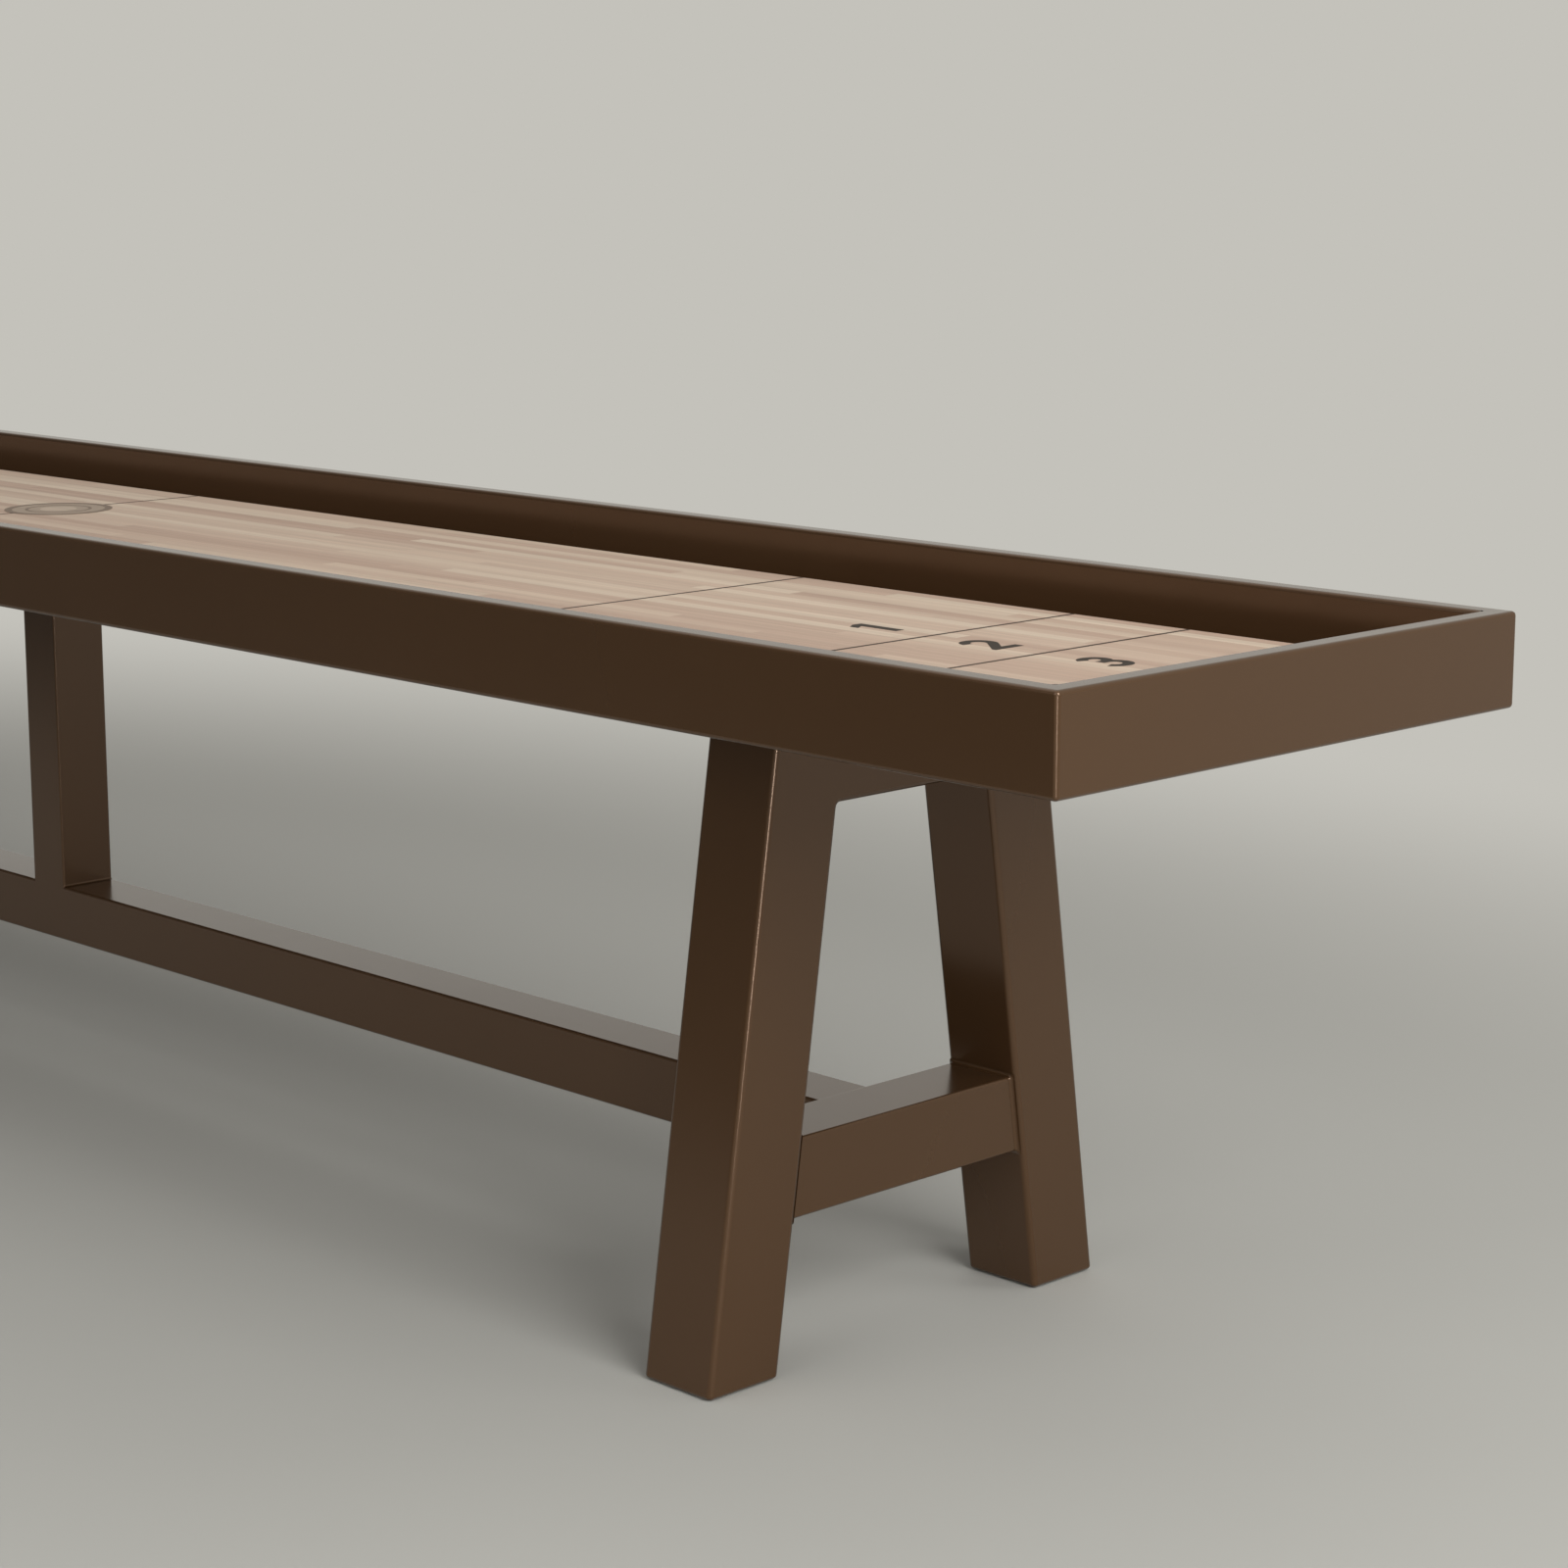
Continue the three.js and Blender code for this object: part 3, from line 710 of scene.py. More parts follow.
def ramped(tree, value, low, high, start=0.0, end=1.0):
    """A value taken from one range to another with soft ends."""
    node = add_node(tree, "ShaderNodeMapRange", interpolation_type="SMOOTHSTEP")
    labels = ("Value", "From Min", "From Max", "To Min", "To Max")
    for label, item in zip(labels, (value, low, high, start, end)):
        feed(tree, node.inputs[label], item)
    return node.outputs["Result"]


def scaled(tree, vector, factors):
    """A vector with each axis multiplied."""
    node = add_node(tree, "ShaderNodeVectorMath", operation="MULTIPLY")
    feed(tree, node.inputs[0], vector)
    feed(tree, node.inputs[1], factors)
    return node.outputs[0]


def axes_of(tree, vector):
    """The X, Y and Z of a vector."""
    node = add_node(tree, "ShaderNodeSeparateXYZ")
    feed(tree, node.inputs[0], vector)
    return node.outputs


def brightened(tree, colour, factor):
    """A colour multiplied by a value."""
    node = add_node(tree, "ShaderNodeVectorMath", operation="SCALE")
    if not isinstance(colour, bpy.types.NodeSocket):
        colour = colour[:3]
    feed(tree, node.inputs[0], colour)
    feed(tree, node.inputs["Scale"], factor)
    return node.outputs[0]


def noise(tree, vector, scale, detail=2.0, roughness=0.5, distortion=0.0):
    """A Noise node's value."""
    node = add_node(tree, "ShaderNodeTexNoise", noise_dimensions="3D")
    feed(tree, node.inputs["Vector"], vector)
    node.inputs["Scale"].default_value = scale
    node.inputs["Detail"].default_value = detail
    node.inputs["Roughness"].default_value = roughness
    node.inputs["Distortion"].default_value = distortion
    return node.outputs[0]


def mixed(tree, share, first, second):
    """Two shaders mixed by a share of the second."""
    node = add_node(tree, "ShaderNodeMixShader")
    for socket, value in zip(node.inputs, (share, first, second)):
        feed(tree, socket, value)
    return node.outputs[0]


def new_group(name, inputs, outputs):
    """A shader node group with named sockets, and its two end nodes."""
    tree = bpy.data.node_groups.new(name, "ShaderNodeTree")
    for label, kind, value in inputs:
        socket = tree.interface.new_socket(name=label, in_out="INPUT", socket_type=kind)
        if value is not None:
            socket.default_value = value
    for label, kind in outputs:
        tree.interface.new_socket(name=label, in_out="OUTPUT", socket_type=kind)
    return tree, add_node(tree, "NodeGroupInput"), add_node(tree, "NodeGroupOutput")


def place_group(tree, group, **values):
    """Places a node group in a material and feeds its inputs."""
    node = add_node(tree, "ShaderNodeGroup", node_tree=bpy.data.node_groups[group])
    for label, value in values.items():
        feed(tree, node.inputs[label], value)
    return node


def new_material(name):
    """A new material: its tree, its shader and object coordinates."""
    material = bpy.data.materials.new(name)
    material.use_nodes = True
    tree = material.node_tree
    tree.nodes.clear()
    shader = add_node(tree, "ShaderNodeBsdfPrincipled")
    end = add_node(tree, "ShaderNodeOutputMaterial")
    tree.links.new(shader.outputs[0], end.inputs["Surface"])
    place = add_node(tree, "ShaderNodeTexCoord").outputs["Object"]
    return tree, shader, place


def relief(tree, shader, height, strength, distance):
    """A Bump node between a height and a shader's normal."""
    bump = add_node(tree, "ShaderNodeBump")
    bump.inputs["Strength"].default_value = strength
    bump.inputs["Distance"].default_value = distance
    feed(tree, bump.inputs["Height"], height)
    tree.links.new(bump.outputs[0], shader.inputs["Normal"])


# Shared effects


def make_coat_group():
    """Sprayed and baked coat: slow drift of tone, fine speckle, and the relief of an orange skin."""
    inputs = (
        ("Place", "NodeSocketVector", None),
        ("Paint", "NodeSocketColor", (0.5, 0.5, 0.5, 1)),
        ("Drift", "NodeSocketFloat", 0.12),
        ("Speckle", "NodeSocketFloat", 0.0),
        ("Roughness", "NodeSocketFloat", 0.3),
    )
    outputs = (
        ("Colour", "NodeSocketColor"),
        ("Roughness", "NodeSocketFloat"),
        ("Height", "NodeSocketFloat"),
    )
    tree, given, result = new_group("coat_surface", inputs, outputs)
    place = given.outputs["Place"]
    slow = about_zero(tree, noise(tree, place, scale=3.0, detail=3.0))
    fine = about_zero(tree, noise(tree, place, scale=480.0, detail=0.0))
    cloud = about_zero(tree, noise(tree, place, scale=14.0, detail=4.0, roughness=0.6))
    drift = product(tree, slow, given.outputs["Drift"])
    speckle = product(tree, fine, given.outputs["Speckle"])
    level = reckon(tree, "ADD", reckon(tree, "ADD", drift, speckle), 1.0)
    feed(tree, result.inputs["Colour"], brightened(tree, given.outputs["Paint"], level))
    sheen = swung(tree, cloud, swing=0.08, base=given.outputs["Roughness"])
    feed(tree, result.inputs["Roughness"], sheen)
    feed(tree, result.inputs["Height"], noise(tree, place, scale=160.0, detail=1.0, roughness=0.45))


def make_grain_group():
    """Wood fibre along X: broad streaks, fine fibres and short pores."""
    inputs = (("Place", "NodeSocketVector", None), ("Shift", "NodeSocketFloat", 0.0))
    outputs = (
        ("Streak", "NodeSocketFloat"),
        ("Fibre", "NodeSocketFloat"),
        ("Pore", "NodeSocketFloat"),
    )
    tree, given, result = new_group("wood_grain", inputs, outputs)
    moved = add_node(tree, "ShaderNodeVectorMath", operation="ADD")
    feed(tree, moved.inputs[0], given.outputs["Place"])
    feed(tree, moved.inputs[1], given.outputs["Shift"])
    broad = scaled(tree, moved.outputs[0], (2.2, 120.0, 120.0))
    narrow = scaled(tree, moved.outputs[0], (9.0, 420.0, 420.0))
    short = scaled(tree, moved.outputs[0], (45.0, 900.0, 900.0))
    streak = noise(tree, broad, scale=1.0, detail=4.0, roughness=0.6, distortion=0.5)
    feed(tree, result.inputs["Streak"], streak)
    feed(tree, result.inputs["Fibre"], noise(tree, narrow, scale=1.0, detail=3.0, roughness=0.6))
    dashes = noise(tree, short, scale=1.0, detail=1.0)
    feed(tree, result.inputs["Pore"], ramped(tree, dashes, low=0.66, high=0.78))


# Materials


def make_coated(name, colour, strength, distance, **surface):
    """A finish with the shared coat surface and its relief; gives its shader for what sets it apart."""
    tree, shader, place = new_material(name)
    coat = place_group(tree, "coat_surface", Place=place, Paint=colour, **surface)
    feed(tree, shader.inputs["Base Color"], coat.outputs["Colour"])
    feed(tree, shader.inputs["Roughness"], coat.outputs["Roughness"])
    relief(tree, shader, coat.outputs["Height"], strength, distance)
    return shader


def make_powder_coat(name, colour, roughness):
    """Satin powder coat on steel, with a clear skin."""
    shader = make_coated(name, colour, strength=0.12, distance=0.1 * MM, Roughness=roughness)
    shader.inputs["Metallic"].default_value = 0.5
    shader.inputs["Specular IOR Level"].default_value = 0.25
    shader.inputs["Coat Weight"].default_value = 0.5
    shader.inputs["Coat Roughness"].default_value = 0.2


def make_zinc(name, colour):
    """Bright zinc plate with faint spangle and handling marks."""
    surface = {"Drift": 0.3, "Speckle": 0.25, "Roughness": 0.34}
    shader = make_coated(name, colour, strength=0.1, distance=0.1 * MM, **surface)
    shader.inputs["Metallic"].default_value = 1.0


def make_rubber(name, colour):
    """Matt moulded rubber."""
    surface = {"Drift": 0.4, "Speckle": 0.3, "Roughness": 0.75}
    make_coated(name, colour, strength=0.3, distance=0.3 * MM, **surface)


def make_wood(name, strips, strip_length):
    """Strips of light hardwood glued side by side under a clear satin varnish."""
    tree, shader, place = new_material(name)
    axes = axes_of(tree, place)
    strip_width = (BOARD_HIGH.y - BOARD_LOW.y) / strips
    border = 0.05
    across = reckon(tree, "DIVIDE", reckon(tree, "SUBTRACT", axes["Y"], BOARD_LOW.y), strip_width)
    across = reckon(tree, "MINIMUM", greatest(tree, across, border), strips - border)
    row = reckon(tree, "FLOOR", across)
    inside = reckon(tree, "FRACT", across)
    row_shift = 17.31
    along = swung(tree, row, row_shift, reckon(tree, "DIVIDE", axes["X"], strip_length))
    piece = add_node(tree, "ShaderNodeTexVoronoi", voronoi_dimensions="1D", feature="F1")
    seam = add_node(tree, "ShaderNodeTexVoronoi", voronoi_dimensions="1D", feature="DISTANCE_TO_EDGE")
    for cells in (piece, seam):
        feed(tree, cells.inputs["W"], along)
        cells.inputs["Scale"].default_value = 1.0
        cells.inputs["Randomness"].default_value = 0.8
    draws = add_node(tree, "ShaderNodeSeparateColor")
    feed(tree, draws.inputs[0], piece.outputs["Color"])
    tone = wood_tone(tree, draws.outputs[0])
    grain_shift = 7.0
    grain = place_group(tree, "wood_grain", Place=place, Shift=product(tree, draws.outputs[1], grain_shift))
    streak = swung(tree, grain.outputs["Streak"], swing=0.48, base=0.75)
    fibre = swung(tree, grain.outputs["Fibre"], swing=0.16, base=0.92)
    pore = swung(tree, grain.outputs["Pore"], swing=-0.16, base=1.0)
    glue = ramped(tree, reckon(tree, "PINGPONG", inside, 0.5), low=0.0, high=0.022, start=0.86)
    butt = ramped(tree, seam.outputs["Distance"], low=0.0, high=0.0012, start=0.84)
    level = product(tree, streak, fibre, pore, glue, butt)
    feed(tree, shader.inputs["Base Color"], brightened(tree, tone, level))
    feed(tree, shader.inputs["Roughness"], swung(tree, grain.outputs["Fibre"], swing=0.12, base=0.46))
    shader.inputs["Specular IOR Level"].default_value = 0.3
    relief(tree, shader, product(tree, grain.outputs["Fibre"], glue), strength=0.1, distance=0.1 * MM)


def wood_tone(tree, draw):
    """The tone of one piece of wood, from a value between 0 and 1."""
    node = add_node(tree, "ShaderNodeValToRGB")
    stops = node.color_ramp.elements
    while len(stops) < len(WOOD_TONES):
        stops.new(0.5)
    for number, (stop, colour) in enumerate(zip(stops, WOOD_TONES)):
        stop.position = number / (len(WOOD_TONES) - 1)
        stop.color = colour
    feed(tree, node.inputs[0], draw)
    return node.outputs[0]


def make_ink(name, colour, cover):
    """Ink under the varnish, through which the fibre shows a little."""
    tree, shader, place = new_material(name)
    grain = place_group(tree, "wood_grain", Place=place, Shift=0.0)
    fibre = about_zero(tree, grain.outputs["Fibre"])
    streak = about_zero(tree, grain.outputs["Streak"])
    level = swung(tree, fibre, 1.0 - cover, 1.0)
    level = swung(tree, streak, 1.0 - cover, level)
    feed(tree, shader.inputs["Base Color"], brightened(tree, colour, level))
    feed(tree, shader.inputs["Roughness"], swung(tree, grain.outputs["Fibre"], swing=0.1, base=0.5))
    shader.inputs["Specular IOR Level"].default_value = 0.2


def make_floor(name, colour, backdrop, front_glow):
    """Pale floor, shown from above only, that runs into a backdrop.

    Only the camera sees that backdrop evenly bright. It is dimmer at the front left for all other rays.
    """
    tree, shader, place = new_material(name)
    surface = shader.outputs[0].links[0].to_socket
    cloud = about_zero(tree, noise(tree, place, scale=1.1, detail=5.0, roughness=0.55))
    level = swung(tree, cloud, swing=0.05, base=1.0)
    feed(tree, shader.inputs["Base Color"], brightened(tree, colour, level))
    feed(tree, shader.inputs["Roughness"], swung(tree, cloud, swing=0.1, base=0.7))
    distance = add_node(tree, "ShaderNodeVectorMath", operation="LENGTH")
    feed(tree, distance.inputs[0], scaled(tree, place, (0.55, 1.0, 1.0)))
    sweep = ramped(tree, distance.outputs["Value"], low=1.25, high=3.0)
    axes = axes_of(tree, place)
    behind = ramped(tree, axes["Y"], low=-0.5, high=1.5, start=front_glow)
    beside = ramped(tree, axes["X"], low=0.6, high=1.6, start=front_glow)
    seen = add_node(tree, "ShaderNodeLightPath").outputs["Is Camera Ray"]
    far = add_node(tree, "ShaderNodeEmission")
    far.inputs["Color"].default_value = backdrop
    feed(tree, far.inputs["Strength"], greatest(tree, seen, greatest(tree, behind, beside)))
    blend = mixed(tree, sweep, shader.outputs[0], far.outputs[0])
    underneath = add_node(tree, "ShaderNodeNewGeometry").outputs["Backfacing"]
    clear = add_node(tree, "ShaderNodeBsdfTransparent")
    feed(tree, surface, mixed(tree, underneath, blend, clear.outputs[0]))
    return bpy.data.materials[name]


# Operators


class SHUFFLEBOARD_OT_finishes(bpy.types.Operator):
    """Make the shared effects and the finishes of the table"""

    bl_idname = "shuffleboard.finishes"
    bl_label = "Finishes"

    def execute(self, context):
        colours = context.scene.shuffleboard_colours
        sizes = context.scene.shuffleboard_playfield
        make_coat_group()
        make_grain_group()
        make_powder_coat("bronze_coat", colours.frame, roughness=0.21)
        make_powder_coat("dark_bronze_coat", colours.gutter, roughness=0.38)
        make_wood("strip_wood", sizes.strips, sizes.strip_length)
        make_ink("number_ink", colours.ink, cover=0.8)
        make_ink("line_ink", colours.line, cover=0.6)
        make_ink("mark_rim_ink", colours.mark_dark, cover=0.5)
        make_ink("mark_field_ink", colours.mark_light, cover=0.4)
        make_ink("mark_spot_ink", colours.mark_pale, cover=0.4)
        make_zinc("zinc_plate", colours.zinc)
        make_rubber("pad_rubber", colours.rubber)
        return {"FINISHED"}


class SHUFFLEBOARD_OT_tray_frame(bpy.types.Operator):
    """Build the seamless welded ring of the four rails"""

    bl_idname = "shuffleboard.tray_frame"
    bl_label = "Tray Frame"

    def execute(self, context):
        sizes = context.scene.shuffleboard_rails
        low = Vector((-HALF_LENGTH, -HALF_WIDTH, LONG_RAIL_LOW.z))
        high = Vector((HALF_LENGTH, HALF_WIDTH, LONG_RAIL_HIGH.z))
        bm = block(low, high)
        caps = [face for face in bm.faces if abs(face.normal.z) > NEARLY_STRAIGHT]
        bmesh.ops.inset_individual(bm, faces=caps, thickness=RAIL_THICKNESS, use_even_offset=True)
        rims = [edge for face in caps for edge in face.edges]
        bmesh.ops.delete(bm, geom=caps, context="FACES_ONLY")
        bmesh.ops.bridge_loops(bm, edges=rims)
        within = HALF_LENGTH - RAIL_THICKNESS / 2
        inner = [edge for edge in edges_along(bm, AXIS_Z) if abs(edge.verts[0].co.x) < within]
        round_off(bm, inner, sizes.inner_corner_radius, segments=3)
        round_off(bm, corner_edges(bm), sizes.edge_radius, segments=5)
        rails = ("near_rail", "far_rail", "left_end_rail", "right_end_rail")
        finish_piece("tray_frame", bm, "bronze_coat", rails)
        return {"FINISHED"}


class SHUFFLEBOARD_OT_tray_floor(bpy.types.Operator):
    """Build the crossmembers and the gutter floors under the playfield"""

    bl_idname = "shuffleboard.tray_floor"
    bl_label = "Tray Floor"

    def execute(self, context):
        sizes = context.scene.shuffleboard_bars
        for side in SIDES:
            for number in range(1, CROSSMEMBERS_A_SIDE + 1):
                node = f"{side}_crossmember_{number}"
                bm = block(*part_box(node))
                round_off(bm, edges_along(bm, AXIS_Y), sizes.crossmember_radius, segments=4)
                finish_piece(f"{side}_tray_crossmember_{number}", bm, "bronze_coat", (node,))
            node = f"{side}_gutter_floor"
            bm = block(*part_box(node))
            round_off(bm, corner_edges(bm), sizes.plate_edge_radius, segments=2)
            finish_piece(f"{side}_gutter_sheet", bm, "dark_bronze_coat", (node,))
        return {"FINISHED"}


class SHUFFLEBOARD_OT_playfield(bpy.types.Operator):
    """Build the strip-wood board"""

    bl_idname = "shuffleboard.playfield"
    bl_label = "Playfield"

    def execute(self, context):
        sizes = context.scene.shuffleboard_playfield
        bm = block(BOARD_LOW, BOARD_HIGH)
        round_off(bm, corner_edges(bm), sizes.edge_radius, segments=4)
        finish_piece("wood_board", bm, "strip_wood", ("playfield",))
        return {"FINISHED"}


class SHUFFLEBOARD_OT_markings(bpy.types.Operator):
    """Build the score lines, the zone numbers and the plain rings of the centre mark"""

    bl_idname = "shuffleboard.markings"
    bl_label = "Markings"

    def execute(self, context):
        sizes = context.scene.shuffleboard_playfield
        top = BOARD_HIGH.z + sizes.print_thickness
        sunk = BOARD_HIGH.z - sizes.print_thickness
        self.build_lines(sizes, sunk, top)
        for number, distance in enumerate(sizes.number_places, 1):
            for side in SIDES:
                bm = number_shape(number, sizes.number_height, sizes.number_stroke)
                set_number(bm, side, distance, sunk, top)
                finish_piece(f"{side}_number_{number}", bm, "number_ink")
        self.build_mark(sizes, sunk, top)
        return {"FINISHED"}

    def build_lines(self, sizes, sunk, top):
        """The score lines: one across the middle, and three towards each end."""
        places = {"centre": 0.0}
        for number, distance in enumerate(sizes.line_places, 1):
            places[f"left_{number}"] = distance - HALF_LENGTH
            places[f"right_{number}"] = HALF_LENGTH - distance
        half = sizes.line_width / 2
        reach = BOARD_HIGH.y - sizes.edge_radius
        for name, middle in places.items():
            line = block(Vector((middle - half, -reach, sunk)), Vector((middle + half, reach, top)))
            finish_piece(f"{name}_score_line", line, "line_ink")

    def build_mark(self, sizes, sunk, top):
        """The centre mark: a lighter field with a pale spot, between darker plain rings."""
        for name, (inner, outer, ink, films) in MARK_RINGS.items():
            low = sizes.mark_radius * inner
            high = sizes.mark_radius * outer
            height = top + sizes.print_thickness * films
            profile = [(low, sunk), (high, sunk), (high, height), (low, height)]
            if inner > 0:
                profile.append((low, sunk))
            finish_piece(f"centre_mark_{name}", turned(profile, Vector((0, 0, 0)), MARK_STEPS), ink)


class SHUFFLEBOARD_OT_trestles(bpy.types.Operator):
    """Build the two seamless end frames, each of two splayed legs and a top beam"""

    bl_idname = "shuffleboard.trestles"
    bl_label = "Trestles"

    def execute(self, context):
        sizes = context.scene.shuffleboard_trestles
        for side, sign in zip(SIDES, (-1, 1)):
            nodes = (f"{side}_near_leg", f"{side}_far_leg", f"{side}_top_beam")
            finish_piece(f"{side}_trestle", self.build(sizes, sign), "bronze_coat", nodes)
        return {"FINISHED"}

    def build(self, sizes, sign):
        """One end frame from its outline."""
        top = LEG_HIGH.z
        foot = LEG_LOW.z
        under = BEAM_BOTTOM
        beam_inner = LEG_TOP_INNER + LEG_SPLAY * (top - under)
        outside = [(FOOT_OUTER, foot), (LEG_TOP_OUTER, top)]
        inside = [(FOOT_INNER, foot), (beam_inner, under)]
        outline = outside + [(-y, z) for y, z in reversed(outside)]
        outline += [(-y, z) for y, z in inside] + list(reversed(inside))
        middle = TRESTLE_X * sign
        depth = LEG_HIGH.x - LEG_LOW.x
        bm = slab_of(outline, AXIS_X, middle - depth / 2, middle + depth / 2)
        welds = [edge for edge in edges_along(bm, AXIS_X) if lies_at(edge, under)]
        round_off(bm, welds, sizes.weld_radius, segments=4)
        long_edges = []
        for edge in corner_edges(bm):
            same_depth = abs(edge.verts[0].co.x - edge.verts[1].co.x) < SAME_PLACE
            if same_depth and not lies_at(edge, foot) and not lies_at(edge, top):
                long_edges.append(edge)
        round_off(bm, long_edges, sizes.edge_radius, segments=5)
        rims = [edge for edge in corner_edges(bm) if lies_at(edge, foot)]
        round_off(bm, rims, sizes.foot_radius, segments=4)
        for way in (-1, 1):
            self.open_foot(bm, Vector((middle, FOOT_Y * way, foot)), sizes)
        return bm

    def open_foot(self, bm, centre, sizes):
        """Recess for the levelling pad in the closed end of a leg, and a bore above it for the stem."""
        sole = min(bm.faces, key=lambda face: (face.calc_center_median() - centre).length)
        rim = list(sole.edges)
        bmesh.ops.delete(bm, geom=[sole], context="FACES_ONLY")
        radius = (PAD_HIGH.x - PAD_LOW.x) / 2 + sizes.pad_clearance
        hoop = add_hoop(bm, centre, radius, sides=len(rim))
        bmesh.ops.triangle_fill(bm, edges=rim + hoop, use_beauty=True, normal=(0, 0, -1))
        into_plate = (FOOT_PLATE_HIGH.z - FOOT_PLATE_LOW.z) / 3
        depth = min(FOOT_PLATE_LOW.z + into_plate - centre.z, sizes.recess_depth)
        hoop = raise_hoop(bm, hoop, centre, 1, depth)
        hoop = raise_hoop(bm, hoop, centre, sizes.stem_bore / radius, 0)
        hoop = raise_hoop(bm, hoop, centre, 1, STEM_HIGH.z - STEM_LOW.z)
        bmesh.ops.contextual_create(bm, geom=hoop)


class SHUFFLEBOARD_OT_lower_frame(bpy.types.Operator):
    """Build the crossbars, the stretcher and the centre post"""

    bl_idname = "shuffleboard.lower_frame"
    bl_label = "Lower Frame"

    def execute(self, context):
        sizes = context.scene.shuffleboard_bars
        for side in SIDES:
            self.build_crossbar(side, sizes)
        bm = block(*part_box("stretcher"))
        round_off(bm, edges_along(bm, AXIS_X), sizes.edge_radius, segments=4)
        finish_piece("long_stretcher", bm, "bronze_coat", ("stretcher",))
        self.build_post(sizes)
        return {"FINISHED"}

    def build_crossbar(self, side, sizes):
        """A crossbar cut to the splay of the legs, with a weld round both ends."""
        node = f"{side}_lower_crossbar"
        low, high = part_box(node)
        lean = LEG_SPLAY * (high.z - low.z)
        start = low.y + sizes.bar_weld - sizes.weld_reach
        end = high.y - sizes.bar_weld + sizes.weld_reach
        outline = [(start, low.z), (end, low.z), (end - lean, high.z), (start + lean, high.z)]
        bm = slab_of(outline, AXIS_X, low.x, high.x)
        round_off(bm, edges_along(bm, AXIS_Y), sizes.edge_radius, segments=4)
        for way in (-1, 1):
            turn = Matrix.Rotation(-way * math.atan(LEG_SPLAY), 4, "X")
            flare(bm, Vector((0, way, 0)), sizes.bar_weld, (AXIS_X, AXIS_Z), turn)
        finish_piece(f"{side}_crossbar", bm, "bronze_coat", (node,))

    def build_post(self, sizes):
        """The centre post, with welds on two sides of its foot and its end let into the stretcher."""
        low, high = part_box("centre_post")
        low.z += sizes.post_weld - sizes.weld_reach
        bm = block(low, high)
        round_off(bm, edges_along(bm, AXIS_Z), sizes.edge_radius, segments=4)
        width = high.x - low.x
        toe = flare(bm, Vector((0, 0, -1)), sizes.post_weld, (AXIS_X,))
        toe = push_face(bm, toe, Vector((0, 0, 0)), (width / (width + sizes.post_weld * 2), 1, 1))
        push_face(bm, toe, Vector((0, 0, -sizes.edge_radius)), (1, 1, 1))
        finish_piece("middle_post", bm, "bronze_coat", ("centre_post",))


class SHUFFLEBOARD_OT_plates(bpy.types.Operator):
    """Build the mounting plates of the trestles and the post"""

    bl_idname = "shuffleboard.plates"
    bl_label = "Mounting Plates"

    def execute(self, context):
        sizes = context.scene.shuffleboard_bars
        pairs = {
            "left_mounting_plate": "left_top_plate",
            "right_mounting_plate": "right_top_plate",
            "post_top_plate": "middle_top_plate",
        }
        for node, name in pairs.items():
            bm = block(*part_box(node))
            round_off(bm, edges_along(bm, AXIS_Z), sizes.plate_corner_radius, segments=6)
            round_off(bm, corner_edges(bm), sizes.plate_edge_radius, segments=2)
            finish_piece(name, bm, "bronze_coat", (node,))
        return {"FINISHED"}


